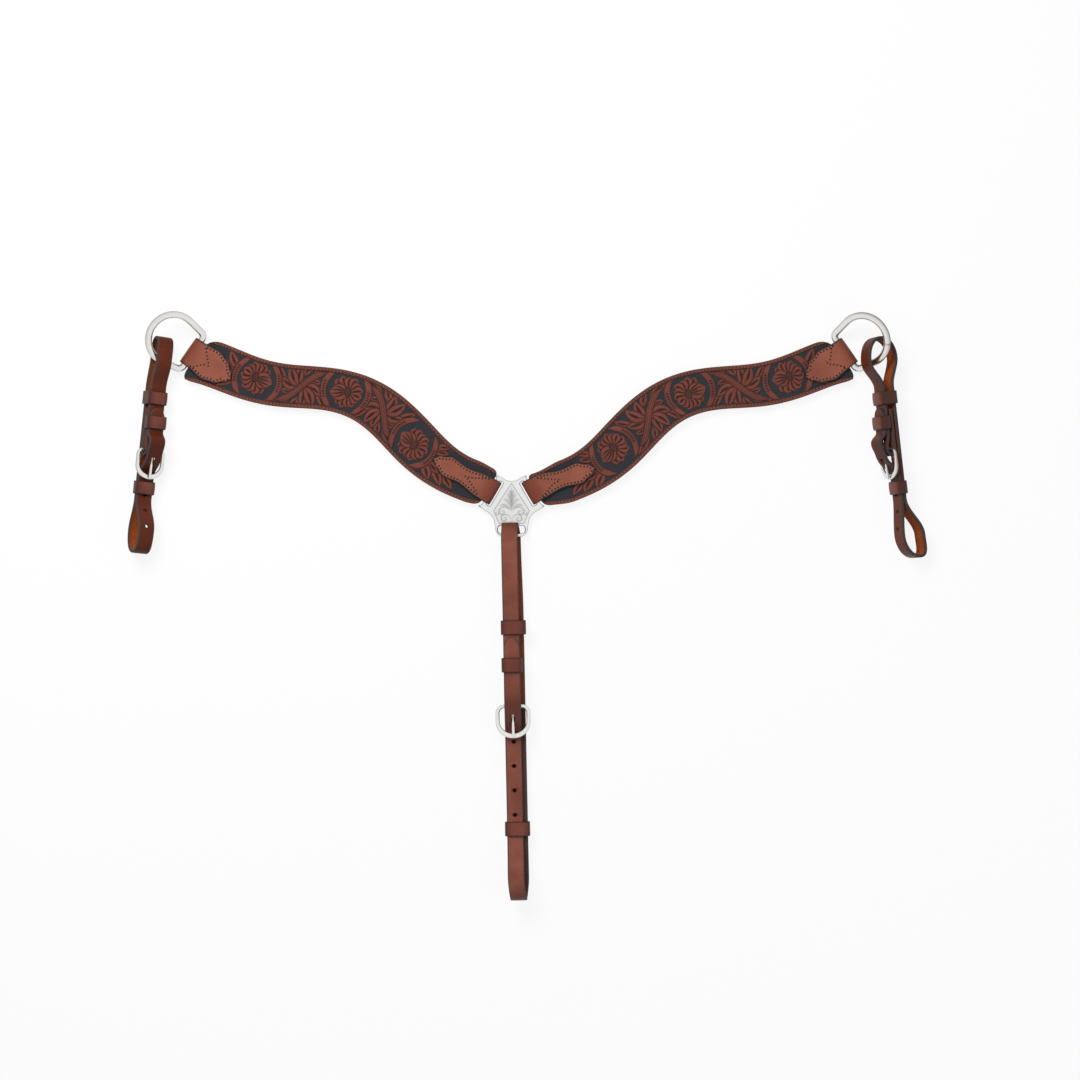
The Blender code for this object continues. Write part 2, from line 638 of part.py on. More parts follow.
def strap_stations(name):
    lay = STRAPS[name]
    base = back_level(name)
    shift = lay["strand_shift"] / 2.0
    clear = lay["keeper_width"] / 2.0 + 0.0055
    snug = lay["keeper_width"] / 2.0 + 0.0030
    heel = lay["heel"]
    toe = heel + lay["buckle_reach"]
    front = base + FRONT_LEVEL
    turn = base + TURN_LEVEL
    low = lay["bottom"]
    # turn-back, fold round the heel bar, front run
    stations = [
        (lay["turn_end"], turn, shift, 0.0), (heel, turn, shift, 0.0),
        (heel + FOLD_RADIUS, base + HEEL_LEVEL, shift, 90.0), (heel, turn + 2.0 * FOLD_RADIUS, shift, 180.0),
        (lay["middle_keeper"] + snug, front, shift, 180.0),
        (lay["upper_keeper"] - clear, front, shift, 180.0)]
    # top loop, to the back run
    if name == "center_strap":
        hug = -base
        stations += [(0.010, 0.0120, shift, 182.0), (-0.0125, 0.0080, shift * 0.6, 276.0),
                     (-hug, 0.0, 0.0, 280.0), (0.002, -hug, -shift * 0.4, 360.0),
                     (lay["upper_keeper"] - clear, base, -shift, 360.0)]
    else:
        loop_middle = (lay["loop_front"] - lay["loop_back"]) / 2.0
        stations += [(0.000, lay["loop_front"], shift, 180.0), (-TUG_LOOP_RISE, loop_middle, 0.0, 270.0),
                     (-0.003, -lay["loop_back"], -shift, 360.0),
                     (lay["upper_keeper"] - clear, base, -shift, 360.0)]
    # bottom loop, to the tip
    if name == "center_strap":
        stations += [(lay["lower_keeper"] + clear, base, -shift, 360.0), (low - 0.024, base, -shift, 360.0),
                     (low, base + 0.0120, 0.0, 450.0), (low - 0.026, base + 0.0250, shift, 540.0)]
    else:
        bend = lay["low_shift"]
        stations += [(lay["lower_keeper"] + clear, base, -shift, 360.0),
                     (low - 0.024, base - 0.0100 + 0.6 * bend, -shift, 360.0),
                     (low, base + 0.0030 + bend, 0.0, 450.0),
                     (low - 0.026, base + 0.0170 + 0.6 * bend, shift, 540.0)]
    stations += [
        (lay["lower_keeper"] + clear, base + LAYER, shift, 540.0),
        (toe + 0.0040, base + LAYER, shift, 540.0), (toe - 0.0040, base + LAYER + 0.0012, shift, 527.0),
        (heel + 0.55 * lay["buckle_reach"], base + HEEL_LEVEL + 0.0022, shift, 494.0),
        (heel + 0.0035, base + OVER_LEVEL + 0.0006, shift, 528.0),
        (heel - SCREW_SETBACK, base + OVER_LEVEL + BILLET_BULGE, shift, 552.0),
        (lay["middle_keeper"] + snug, base + TIP_LEVEL, shift, 540.0),
        (lay["tip_end"], base + TIP_LEVEL, shift, 540.0)]
    return stations


def cylinder_data(name, radius, length):
    return flat_curve(name, [arc_points((0.0, 0.0), radius, 0.0, 330.0, 12)], length)


def slot_data(name, length, width, depth):
    return flat_curve(name, [round_box(length, width, width / 2.0 - 0.00005, 4)], depth)


# Cutter placing: its thickness runs through the strap's thickness, its length along the strap
def through_strap(frame):
    return frame @ Matrix.Rotation(math.radians(-90.0), 4, "X")


def cut_holes(piece, holes):
    for cutter in holes:
        cut = piece.modifiers.new("cut_" + cutter.name, "BOOLEAN")
        cut.operation = "DIFFERENCE"
        cut.solver = "EXACT"
        cut.object = cutter


def mesh_cutter(name, curve, placing):
    rough = bpy.data.objects.new(name + "_outline", curve)
    cutters.objects.link(rough)
    mesh = baked_mesh(rough)
    bpy.data.objects.remove(rough, do_unlink=True)
    return add_cutter(name, mesh, placing)


# Level of the tongue above the heel bar, at a share of the way to the toe bar
def tongue_rise(share):
    rest = BUCKLE_THICKNESS / 2.0 + GAP + TONGUE_DIAMETER / 2.0
    return EYE_RADIUS + (rest - EYE_RADIUS) * min(1.0, share)


# Distance along the strap where the tongue goes through its buckled end
def tongue_crossing(name, run, start):
    lay = STRAPS[name]
    heel_level = back_level(name) + HEEL_LEVEL
    lengths = run_lengths(run)
    best = None
    for point, length in zip(run, lengths):
        share = (point.x - lay["heel"]) / lay["buckle_reach"]
        if length > start and 0.1 < share < 0.95:
            off = abs(point.y - heel_level - tongue_rise(share))
            if best is None or off < best[0]:
                best = (off, length)
    return best[1]


def build_strap(name):
    lay = STRAPS[name]
    placing = strap_matrix(name)
    run = station_run(strap_stations(name))
    total = run_lengths(run)[-1]
    taper = total - TIP_LENGTH
    path = thin_run(run, 13.0, (taper,))
    distances = run_lengths(path)
    halves = []
    for distance in distances:
        left = max(0.0, min(1.0, (total - distance) / TIP_LENGTH))
        halves.append(STRAP_WIDTH / 2.0 * (0.10 + 0.90 * left))
    strip = strip_curve(name + "_rough", path, halves)
    rough = add_piece(name + "_rough", strip, Matrix.Identity(4), "strap")
    thicken(rough, STRAP_THICKNESS)
    mesh = baked_mesh(rough)
    bpy.data.objects.remove(rough, do_unlink=True)
    strap = add_piece(name + "_strap", mesh, placing, "strap")
    base = back_level(name)
    deep = STRAP_THICKNESS * 1.7
    holes = []
    # slot for the tongue in the fold
    label = name + "_tongue_slot"
    fold = placing @ Matrix.Translation((lay["heel"] + 0.0022, base + HEEL_LEVEL, lay["strand_shift"] / 2.0))
    slot = slot_data(label, 2.0 * (FOLD_RADIUS + 0.0055), TONGUE_SLOT_WIDTH, 4.0 * FOLD_RADIUS)
    holes.append(mesh_cutter(label, slot, through_strap(fold)))
    # hole for the two-part screw, square to the strap's length
    label = name + "_screw_hole"
    screw = placing @ Matrix.Translation((lay["heel"] - SCREW_SETBACK, base + TURN_LEVEL + 0.0035,
                                          lay["strand_shift"] / 2.0))
    screw_hole = cylinder_data(label, SCREW_BARREL / 2.0 + GAP, 0.0160)
    holes.append(mesh_cutter(label, screw_hole, through_strap(screw)))
    # the buckled hole, and the row of spare holes below it
    start = total - (lay["heel"] + lay["buckle_reach"] + 0.045 - lay["tip_end"])
    buckled = tongue_crossing(name, run, start)
    for i in range(lay["hole_count"] + 1):
        frame = placing @ run_frame(run, buckled - i * lay["hole_pitch"])
        label = name + "_hole_" + str(i)
        if i == 0:
            punched = slot_data(label, HOLE_LENGTH, HOLE_DIAMETER, deep)
        else:
            punched = cylinder_data(label, HOLE_DIAMETER / 2.0, deep)
        holes.append(mesh_cutter(label, punched, through_strap(frame)))
    cut_holes(strap, holes)
    return strap


# BUCKLES, TONGUES, KEEPERS AND SCREWS
def build_buckle(name, placing):
    lay = STRAPS[name]
    base = back_level(name)
    half = lay["buckle_width"] / 2.0
    reach = lay["buckle_reach"]
    bar = BUCKLE_BAR / 2.0
    toe = reach + BUCKLE_STOCK / 2.0
    round_radius = half * 0.92
    rim = [(-bar, -half + 0.0030), (-bar, half - 0.0030), (-bar + 0.0008, half - 0.0008)]
    rim += [(toe - round_radius, half)]
    rim += [(toe - round_radius + round_radius * math.sin(turn), half * math.cos(turn))
            for turn in [math.pi * i / 16.0 for i in range(1, 16)]]
    rim += [(toe - round_radius, -half), (-bar + 0.0008, -half + 0.0008)]
    inner = half - BUCKLE_STOCK * 0.88
    inner_toe = reach - BUCKLE_STOCK / 2.0
    inner_round = inner * 0.92
    hole = [(bar, -inner), (bar, inner), (inner_toe - inner_round, inner)]
    hole += [(inner_toe - inner_round + inner_round * math.sin(turn), inner * math.cos(turn))
             for turn in [math.pi * i / 14.0 for i in range(1, 14)]]
    hole += [(inner_toe - inner_round, -inner)]
    heel = placing @ Matrix.Translation((lay["heel"], base + HEEL_LEVEL, lay["strand_shift"] / 2.0))
    buckle_placing = heel @ Matrix.Rotation(math.radians(-90.0), 4, "X")
    add_piece(name + "_buckle", flat_curve(name + "_buckle", [rim, hole], BUCKLE_THICKNESS, 0.0004),
              buckle_placing, "silver")
    # tongue: a pin bent round the heel bar, its tip on the toe bar
    path = []
    scales = []
    for turn in range(345, 80, -21):
        angle = math.radians(turn)
        path.append((EYE_RADIUS * math.cos(angle), EYE_RADIUS * math.sin(angle), 0.0))
        scales.append(1.0)
    for share in (0.25, 0.55, 0.85, 1.06):
        path.append((reach * share, tongue_rise(share), 0.0))
        scales.append(1.0 if share < 0.9 else 0.72)
    add_piece(name + "_tongue", rod_curve(name + "_tongue", path, TONGUE_DIAMETER / 2.0, scales, False, 8),
              heel, "silver")


def build_keeper(name, which, placing, low, high, shift, centre_shift):
    lay = STRAPS[name]
    width = STRAP_WIDTH + shift + 2.0 * KEEPER_CLEARANCE
    depth = high - low + STRAP_THICKNESS + 2.0 * KEEPER_CLEARANCE
    inner = round_box(width, depth, 0.0003, 2)
    outer = round_box(width + 2.0 * KEEPER_THICKNESS, depth + 2.0 * KEEPER_THICKNESS,
                      KEEPER_THICKNESS + 0.0006, 4)
    centre = placing @ Matrix.Translation((lay[which + "_keeper"], (low + high) / 2.0, centre_shift))
    turned_in = centre @ Matrix(((0, 0, 1, 0), (0, 1, 0, 0), (-1, 0, 0, 0), (0, 0, 0, 1)))
    piece_name = name + "_keeper_" + which
    add_piece(piece_name, flat_curve(piece_name, [outer, inner], lay["keeper_width"]), turned_in, "keeper")


def build_keepers(name, placing):
    lay = STRAPS[name]
    base = back_level(name)
    shift = lay["strand_shift"]
    build_keeper(name, "upper", placing, base, base + FRONT_LEVEL, shift, 0.0)
    build_keeper(name, "middle", placing, base + FRONT_LEVEL, base + TIP_LEVEL, 0.0, shift / 2.0)
    build_keeper(name, "lower", placing, base, base + LAYER, shift, 0.0)


# A turned piece: its half profile spun about its own Z axis
def lathe(name, profile, placing, paint, carrier):
    mesh = bpy.data.meshes.new(name)
    mesh.from_pydata([(x, 0.0, z) for x, z in profile], [(i, i + 1) for i in range(len(profile) - 1)], [])
    piece = add_piece(name, mesh, placing, paint, carrier)
    spin = piece.modifiers.new("spin", "SCREW")
    spin.steps = 12
    spin.render_steps = 12
    spin.use_merge_vertices = True
    spin.merge_threshold = 0.00005
    return piece


# Level of the front run's middle at the screw
def front_at_screw(name):
    lay = STRAPS[name]
    run = station_run(strap_stations(name))
    half_way = run_distance(run, (lay["heel"] + FOLD_RADIUS, back_level(name) + HEEL_LEVEL), 0.0, 0.2)
    lengths = run_lengths(run)
    best = min((abs(point.x - lay["heel"] + SCREW_SETBACK), point.y) for point, length in zip(run, lengths)
               if half_way < length < half_way + 0.05)
    return best[1]


def build_screw(name, placing, strap):
    lay = STRAPS[name]
    base = back_level(name)
    lean_room = 0.0008
    front_face = front_at_screw(name) + STRAP_THICKNESS / 2.0 + lean_room
    back_face = base + TURN_LEVEL - STRAP_THICKNESS / 2.0 - GAP
    barrel = SCREW_BARREL / 2.0
    head = SCREW_HEAD / 2.0
    bore = barrel * 0.62
    length = front_face - back_face
    top = SCREW_HEAD_THICKNESS
    along = lay["heel"] - SCREW_SETBACK
    centre = placing @ Matrix.Translation((along, front_face, lay["strand_shift"] / 2.0))
    turned_in = centre @ Matrix.Rotation(math.radians(-90.0), 4, "X")
    post = [(0.0, top), (head * 0.55, top), (head, top * 0.45), (head, 0.0), (barrel, 0.0),
            (barrel, -length + GAP), (bore, -length + GAP), (bore, -0.0012), (0.0, -0.0012)]
    lathe(name + "_screw_post", post, turned_in, "silver", strap)
    cap = [(0.0, -0.0018), (bore - GAP, -0.0018), (bore - GAP, -length), (head, -length),
           (head, -length - top * 0.55), (head * 0.55, -length - top * 0.8), (0.0, -length - top * 0.8)]
    lathe(name + "_screw_cap", cap, turned_in, "silver", strap)


def build_straps():
    for name in STRAPS:
        strap = build_strap(name)
        placing = strap_matrix(name)
        build_buckle(name, placing)
        build_keepers(name, placing)
        build_screw(name, placing, strap)


# Move the whole part so that its lowest point, under the middle of its box, is the origin
def set_on_ground():
    bpy.context.view_layer.update()
    depsgraph = bpy.context.evaluated_depsgraph_get()
    lowest = Vector((1.0, 1.0, 1.0))
    highest = Vector((-1.0, -1.0, -1.0))
    for piece in [item for item in assembly.objects if item.type != "EMPTY"]:
        seen = piece.evaluated_get(depsgraph)
        mesh = seen.to_mesh()
        for vertex in mesh.vertices:
            place = piece.matrix_world @ vertex.co
            for axis in range(3):
                lowest[axis] = min(lowest[axis], place[axis])
                highest[axis] = max(highest[axis], place[axis])
        seen.to_mesh_clear()
    shift = Matrix.Translation((-(lowest.x + highest.x) / 2.0, -(lowest.y + highest.y) / 2.0, -lowest.z))
    for piece in list(assembly.objects) + list(cutters.objects):
        if piece.parent is None:
            piece.matrix_world = shift @ piece.matrix_world
    bpy.context.view_layer.update()


panel_pivots = {side: add_pivot(side) for side in SIDES}
build_plate()
build_panels(panel_pivots)
build_tabs(panel_pivots)
build_rings()
build_straps()
set_on_ground()
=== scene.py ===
import json
import math

import bmesh
import bpy
import numpy as np
from mathutils import Matrix, Vector
from mathutils.kdtree import KDTree

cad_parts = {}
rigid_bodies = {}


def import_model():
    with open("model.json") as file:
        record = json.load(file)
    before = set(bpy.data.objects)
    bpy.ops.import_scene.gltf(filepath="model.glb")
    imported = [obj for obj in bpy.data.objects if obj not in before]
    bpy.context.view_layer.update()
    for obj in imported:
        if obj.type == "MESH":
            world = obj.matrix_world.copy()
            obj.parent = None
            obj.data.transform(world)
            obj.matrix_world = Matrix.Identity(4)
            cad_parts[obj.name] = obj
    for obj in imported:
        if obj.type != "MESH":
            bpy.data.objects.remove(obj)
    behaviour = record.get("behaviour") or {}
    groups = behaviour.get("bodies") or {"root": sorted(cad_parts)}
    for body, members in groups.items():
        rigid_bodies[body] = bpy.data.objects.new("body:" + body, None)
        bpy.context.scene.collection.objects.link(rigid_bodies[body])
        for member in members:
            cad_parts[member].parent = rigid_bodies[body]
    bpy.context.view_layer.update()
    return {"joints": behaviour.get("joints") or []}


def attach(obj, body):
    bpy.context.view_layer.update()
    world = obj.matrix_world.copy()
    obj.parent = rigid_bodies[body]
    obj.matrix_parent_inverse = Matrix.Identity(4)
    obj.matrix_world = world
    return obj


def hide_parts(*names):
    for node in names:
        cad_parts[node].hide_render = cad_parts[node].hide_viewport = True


for leftover in list(bpy.data.objects):
    bpy.data.objects.remove(leftover, do_unlink=True)

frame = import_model()
joints = {joint["name"]: joint for joint in frame["joints"]}
sides = {"left": -1.0, "right": 1.0}
mm = 0.001


# placing from the frame: every piece is built in its own axes and set where the joints are
def jointPlace(name):
    return Vector(joints[name]["pos_m"])


def jointAxis(name):
    return Vector(joints[name]["axis"]).normalized()


def axesMatrix(origin, xAxis, yAxis):
    xAxis = Vector(xAxis).normalized()
    yAxis = Vector(yAxis)
    yAxis = (yAxis - xAxis * yAxis.dot(xAxis)).normalized()
    matrix = Matrix((xAxis, yAxis, xAxis.cross(yAxis))).transposed().to_4x4()
    matrix.translation = Vector(origin)
    return matrix


def place(points, matrix):
    points = np.asarray(points, float)
    turn = np.array(matrix.to_3x3())
    return points @ turn.T + np.array(matrix.translation)


# colours as they are read off a screen, 0 to 255
def tone(red, green, blue):
    def linear(value):
        value = value / 255.0
        return value / 12.92 if value <= 0.04045 else ((value + 0.055) / 1.055) ** 2.4
    return (linear(red), linear(green), linear(blue), 1.0)


def dimmed(colour, share):
    return tuple(share * part for part in colour[:3]) + (1.0,)


def startMaterial(name):
    material = bpy.data.materials.new(name)
    material.use_nodes = True
    tree = material.node_tree
    return material, tree, tree.nodes["Principled BSDF"]


def addNode(tree, kind, values=None, **settings):
    node = tree.nodes.new(kind)
    for key, value in settings.items():
        setattr(node, key, value)
    for key, value in (values or {}).items():
        node.inputs[key].default_value = value
    return node


def feed(tree, value, socket):
    if isinstance(value, bpy.types.NodeSocket):
        tree.links.new(value, socket)
    else:
        socket.default_value = value


def mixTone(tree, factor, first, second):
    node = addNode(tree, "ShaderNodeMix", data_type="RGBA")
    feed(tree, factor, node.inputs[0])
    feed(tree, first, node.inputs[6])
    feed(tree, second, node.inputs[7])
    return node.outputs[2]


def mixValue(tree, factor, first, second):
    node = addNode(tree, "ShaderNodeMix", data_type="FLOAT")
    feed(tree, factor, node.inputs[0])
    feed(tree, first, node.inputs[2])
    feed(tree, second, node.inputs[3])
    return node.outputs[0]


def mathNode(tree, operation, first, second):
    node = addNode(tree, "ShaderNodeMath", operation=operation, use_clamp=True)
    feed(tree, first, node.inputs[0])
    feed(tree, second, node.inputs[1])
    return node.outputs[0]


def surfaceNoise(tree, scale, detail, stretch=(1.0, 1.0, 1.0)):
    where = addNode(tree, "ShaderNodeTexCoord")
    mapping = addNode(tree, "ShaderNodeMapping", {"Scale": stretch})
    noise = addNode(tree, "ShaderNodeTexNoise", {"Scale": scale, "Detail": detail})
    tree.links.new(where.outputs["Object"], mapping.inputs["Vector"])
    tree.links.new(mapping.outputs["Vector"], noise.inputs["Vector"])
    return noise.outputs["Fac"]


def surfaceCells(tree, scale):
    where = addNode(tree, "ShaderNodeTexCoord")
    cells = addNode(tree, "ShaderNodeTexVoronoi", {"Scale": scale})
    tree.links.new(where.outputs["Object"], cells.inputs["Vector"])
    return cells.outputs["Distance"]


def readAttribute(tree, name, part="Fac"):
    return addNode(tree, "ShaderNodeAttribute", attribute_name=name).outputs[part]


def spread(tree, value, low, high):
    ramp = addNode(tree, "ShaderNodeMapRange", {"From Min": low, "From Max": high})
    tree.links.new(value, ramp.inputs["Value"])
    return ramp.outputs["Result"]


def addBump(tree, shader, height, strength, distance):
    bump = addNode(tree, "ShaderNodeBump", {"Strength": strength, "Distance": distance})
    tree.links.new(height, bump.inputs["Height"])
    tree.links.new(bump.outputs["Normal"], shader.inputs["Normal"])


# FINISHES: patterns are given in repeats to the metre, bumps in metres
finishSettings = {
    "leather": {"cloud": 26.0, "speck": 420.0, "speckShare": 0.25, "fibre": 1300.0,
                "fibreStretch": (1.0, 0.35, 1.0), "fleshShade": 0.50, "fleshRough": 0.88,
                "roughRange": 0.10, "pores": 950.0, "wrinkle": 230.0, "wrinkleShare": 0.45,
                "grainShare": 0.55, "bump": 0.30, "bumpDepth": 0.0003},
    "carved": {"cloud": 55.0, "cloudShade": 0.78, "speck": 700.0, "speckShare": 0.35, "matting": 1150.0,
               "mattingShade": 0.50, "wrinkle": 900.0, "raisedRough": (0.44, 0.58), "groundRough": 0.80,
               "shine": 0.34, "bump": 0.35, "bumpDepth": 0.0003},
    "metal": {"wear": 70.0, "wearShare": 0.12, "haze": 380.0, "tarnishAndShadeShare": 0.22, "tarnishAndShadeRough": 0.50,
              "lines": 300.0, "lineStretch": (1.0, 0.12, 1.0), "bumpDepth": 0.00003},
    "thread": {"strand": 1900.0, "rough": 0.62, "bump": 0.4, "bumpDepth": 0.0002},
}


# smooth leather: grain on the face, loose fibre on the flesh side, dyed edges, and painted shade where it
# is bent
def smoothLeather(name, face, deep, flesh, edge, bent, roughness, shine):
    want = finishSettings["leather"]
    material, tree, shader = startMaterial(name)
    side = readAttribute(tree, "grainSide")
    cloud = spread(tree, surfaceNoise(tree, want["cloud"], 4.0), 0.32, 0.70)
    speck = spread(tree, surfaceNoise(tree, want["speck"], 2.0), 0.35, 0.68)
    fibre = spread(tree, surfaceNoise(tree, want["fibre"], 4.0, want["fibreStretch"]), 0.30, 0.72)
    tanned = mixTone(tree, cloud, deep, face)
    tanned = mixTone(tree, mathNode(tree, "MULTIPLY", speck, want["speckShare"]), tanned, deep)
    # painted shade: the grain side goes over to the bent tone where folds, loops and curls are marked
    tanned = mixTone(tree, readAttribute(tree, "paintedFoldShade"), tanned, bent)
    rough = mixTone(tree, fibre, dimmed(flesh, want["fleshShade"]), flesh)
    body = mixTone(tree, side, rough, tanned)
    # edge dye, which also carries painted shade along the tabs' edges and on the hidden back leg
    tree.links.new(mixTone(tree, readAttribute(tree, "edgeDyeAndShade"), body, edge), shader.inputs["Base Color"])
    dull = mixValue(tree, speck, roughness, roughness + want["roughRange"])
    tree.links.new(mixValue(tree, side, want["fleshRough"], dull), shader.inputs["Roughness"])
    shader.inputs["Specular IOR Level"].default_value = shine
    pores = spread(tree, surfaceCells(tree, want["pores"]), 0.05, 0.62)
    grain = mixValue(tree, want["wrinkleShare"], pores, surfaceNoise(tree, want["wrinkle"], 5.0))
    grain = mathNode(tree, "MULTIPLY", grain, want["grainShare"])
    addBump(tree, shader, mixValue(tree, side, fibre, grain), want["bump"], want["bumpDepth"])
    return material


# carved leather: raised work over matted ground, darkened in its cuts
def carvedLeather(name, raised, antique, ground, edge):
    want = finishSettings["carved"]
    material, tree, shader = startMaterial(name)
    carving = addNode(tree, "ShaderNodeSeparateColor")
    tree.links.new(readAttribute(tree, "tooling", "Color"), carving.inputs["Color"])
    work, cuts, rim = (carving.outputs[part] for part in ("Red", "Green", "Blue"))
    cloud = spread(tree, surfaceNoise(tree, want["cloud"], 4.0), 0.32, 0.70)
    speck = spread(tree, surfaceNoise(tree, want["speck"], 2.0), 0.35, 0.68)
    matting = spread(tree, surfaceCells(tree, want["matting"]), 0.06, 0.60)
    worn = mixTone(tree, cloud, dimmed(raised, want["cloudShade"]), raised)
    worn = mixTone(tree, cuts, worn, antique)
    pitted = dimmed(ground, want["mattingShade"])
    dyed = mixTone(tree, matting, pitted, ground)
    dyed = mixTone(tree, mathNode(tree, "MULTIPLY", speck, want["speckShare"]), dyed, pitted)
    body = mixTone(tree, work, dyed, worn)
    tree.links.new(mixTone(tree, rim, body, edge), shader.inputs["Base Color"])
    polish = mixValue(tree, speck, *want["raisedRough"])
    tree.links.new(mixValue(tree, work, want["groundRough"], polish), shader.inputs["Roughness"])
    shader.inputs["Specular IOR Level"].default_value = want["shine"]
    wrinkle = surfaceNoise(tree, want["wrinkle"], 3.0)
    addBump(tree, shader, mixValue(tree, work, matting, wrinkle), want["bump"], want["bumpDepth"])
    return material


# polished metal, dull and dark where it is engraved, and greyed with painted shade down the sides of round
# stock and on bevelled rims
def brightMetal(name, bright, dull, low, high, scratch):
    want = finishSettings["metal"]
    material, tree, shader = startMaterial(name)
    wear = spread(tree, surfaceNoise(tree, want["wear"], 5.0), 0.34, 0.70)
    haze = spread(tree, surfaceNoise(tree, want["haze"], 3.0), 0.36, 0.70)
    groove = readAttribute(tree, "engravingAndShade")
    polished = mixTone(tree, mathNode(tree, "MULTIPLY", wear, want["wearShare"]), bright, dull)
    # engraved grooves and painted shade both go towards this dark tone
    tarnishAndShade = dimmed(dull, want["tarnishAndShadeShare"])
    tree.links.new(mixTone(tree, groove, polished, tarnishAndShade), shader.inputs["Base Color"])
    shader.inputs["Metallic"].default_value = 1.0
    shade = mixValue(tree, haze, low, high)
    tree.links.new(mixValue(tree, groove, shade, want["tarnishAndShadeRough"]), shader.inputs["Roughness"])
    lines = surfaceNoise(tree, want["lines"], 2.0, want["lineStretch"])
    addBump(tree, shader, lines, scratch, want["bumpDepth"])
    return material


def plainThread(name, light, dark):
    want = finishSettings["thread"]
    material, tree, shader = startMaterial(name)
    strand = spread(tree, surfaceNoise(tree, want["strand"], 2.0), 0.30, 0.70)
    tree.links.new(mixTone(tree, strand, dark, light), shader.inputs["Base Color"])
    shader.inputs["Roughness"].default_value = want["rough"]
    addBump(tree, shader, strand, want["bump"], want["bumpDepth"])
    return material


# leathers: face, deep, flesh side, edge and bent tones, the bent tone being painted shade, then roughness
# and shine
# metals: bright and dull tones, least and most roughness, then scratches
finishes = {
    "tooled": carvedLeather("tooledLeather", tone(113, 57, 45), tone(28, 9, 6), tone(47, 49, 53),
                            tone(52, 38, 40)),
    "lining": smoothLeather("liningLeather", tone(140, 86, 58), tone(116, 70, 46), tone(158, 102, 66),
                            tone(48, 40, 40), tone(120, 66, 40), 0.62, 0.30),
    "tab": smoothLeather("tabLeather", tone(146, 82, 63), tone(116, 60, 44), tone(168, 86, 38),
                         tone(20, 15, 15), tone(96, 38, 16), 0.48, 0.48),
    "strap": smoothLeather("strapLeather", tone(140, 79, 63), tone(102, 51, 38), tone(176, 88, 36),
                           tone(44, 39, 41), tone(84, 33, 12), 0.46, 0.44),
    "tug": smoothLeather("tugLeather", tone(104, 45, 25), tone(76, 30, 14), tone(164, 82, 32),
                         tone(62, 56, 58), tone(72, 27, 11), 0.44, 0.20),
    "keeper": smoothLeather("keeperLeather", tone(120, 63, 48), tone(90, 42, 30), tone(150, 78, 36),
                            tone(22, 16, 16), tone(58, 21, 12), 0.40, 0.36),
    "steel": brightMetal("ringSteel", (0.78, 0.77, 0.75, 1.0), (0.62, 0.56, 0.49, 1.0), 0.23, 0.26, 0.04),
    "silver": brightMetal("plateSilver", (0.80, 0.80, 0.795, 1.0), (0.70, 0.69, 0.68, 1.0),
                          0.27, 0.30, 0.04),
    "buckle": brightMetal("buckleSilver", (0.80, 0.79, 0.77, 1.0), (0.58, 0.56, 0.52, 1.0),
                          0.24, 0.28, 0.05),
    "thread": plainThread("stitchThread", tone(172, 128, 84), tone(122, 84, 52)),
    # painted shade standing in for the awl holes
    "awlHoleShade": plainThread("awlHoleShade", tone(36, 17, 12), tone(20, 9, 7)),
    "punched": plainThread("punchedEdge", tone(84, 38, 20), tone(40, 16, 8)),
}
print("finishes made:", len(finishes))


# making pieces
def linkNew(name, data):
    piece = bpy.data.objects.new(name, data)
    bpy.context.scene.collection.objects.link(piece)
    return piece


def turnOutward(mesh, merge=None):
    work = bmesh.new()
    work.from_mesh(mesh)
    if merge:
        bmesh.ops.remove_doubles(work, verts=work.verts, dist=merge)
    bmesh.ops.recalc_face_normals(work, faces=work.faces)
    work.to_mesh(mesh)
    work.free()


def makePiece(name, points, faces, paint, attributes=None):
    mesh = bpy.data.meshes.new(name)
    mesh.from_pydata(np.asarray(points).tolist(), [], faces)
    for label, values in (attributes or {}).items():
        values = np.asarray(values, np.float32)
        if values.ndim == 1:
            mesh.attributes.new(label, "FLOAT", "POINT").data.foreach_set("value", values)
        else:
            mesh.attributes.new(label, "FLOAT_COLOR", "POINT").data.foreach_set("color", values.reshape(-1))
    mesh.materials.append(finishes[paint])
    turnOutward(mesh)
    mesh.polygons.foreach_set("use_smooth", np.ones(len(mesh.polygons), bool))
    mesh.update()
    return linkNew(name, mesh)


def settle(piece, body, slot, *nodes):
    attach(piece, body)
    if nodes:
        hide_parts(*nodes)


# rings of points joined into a skin, with flat ends where it is open
def skin(rings, closed):
    count, around = rings.shape[:2]
    faces = []
    for i in range(count if closed else count - 1):
        here = i * around
        there = ((i + 1) % count) * around
        for j in range(around):
            k = (j + 1) % around
            faces.append((here + j, here + k, there + k, there + j))
    if not closed:
        faces.append(tuple(reversed(range(around))))
        faces.append(tuple(range((count - 1) * around, count * around)))
    return rings.reshape(-1, 3), faces


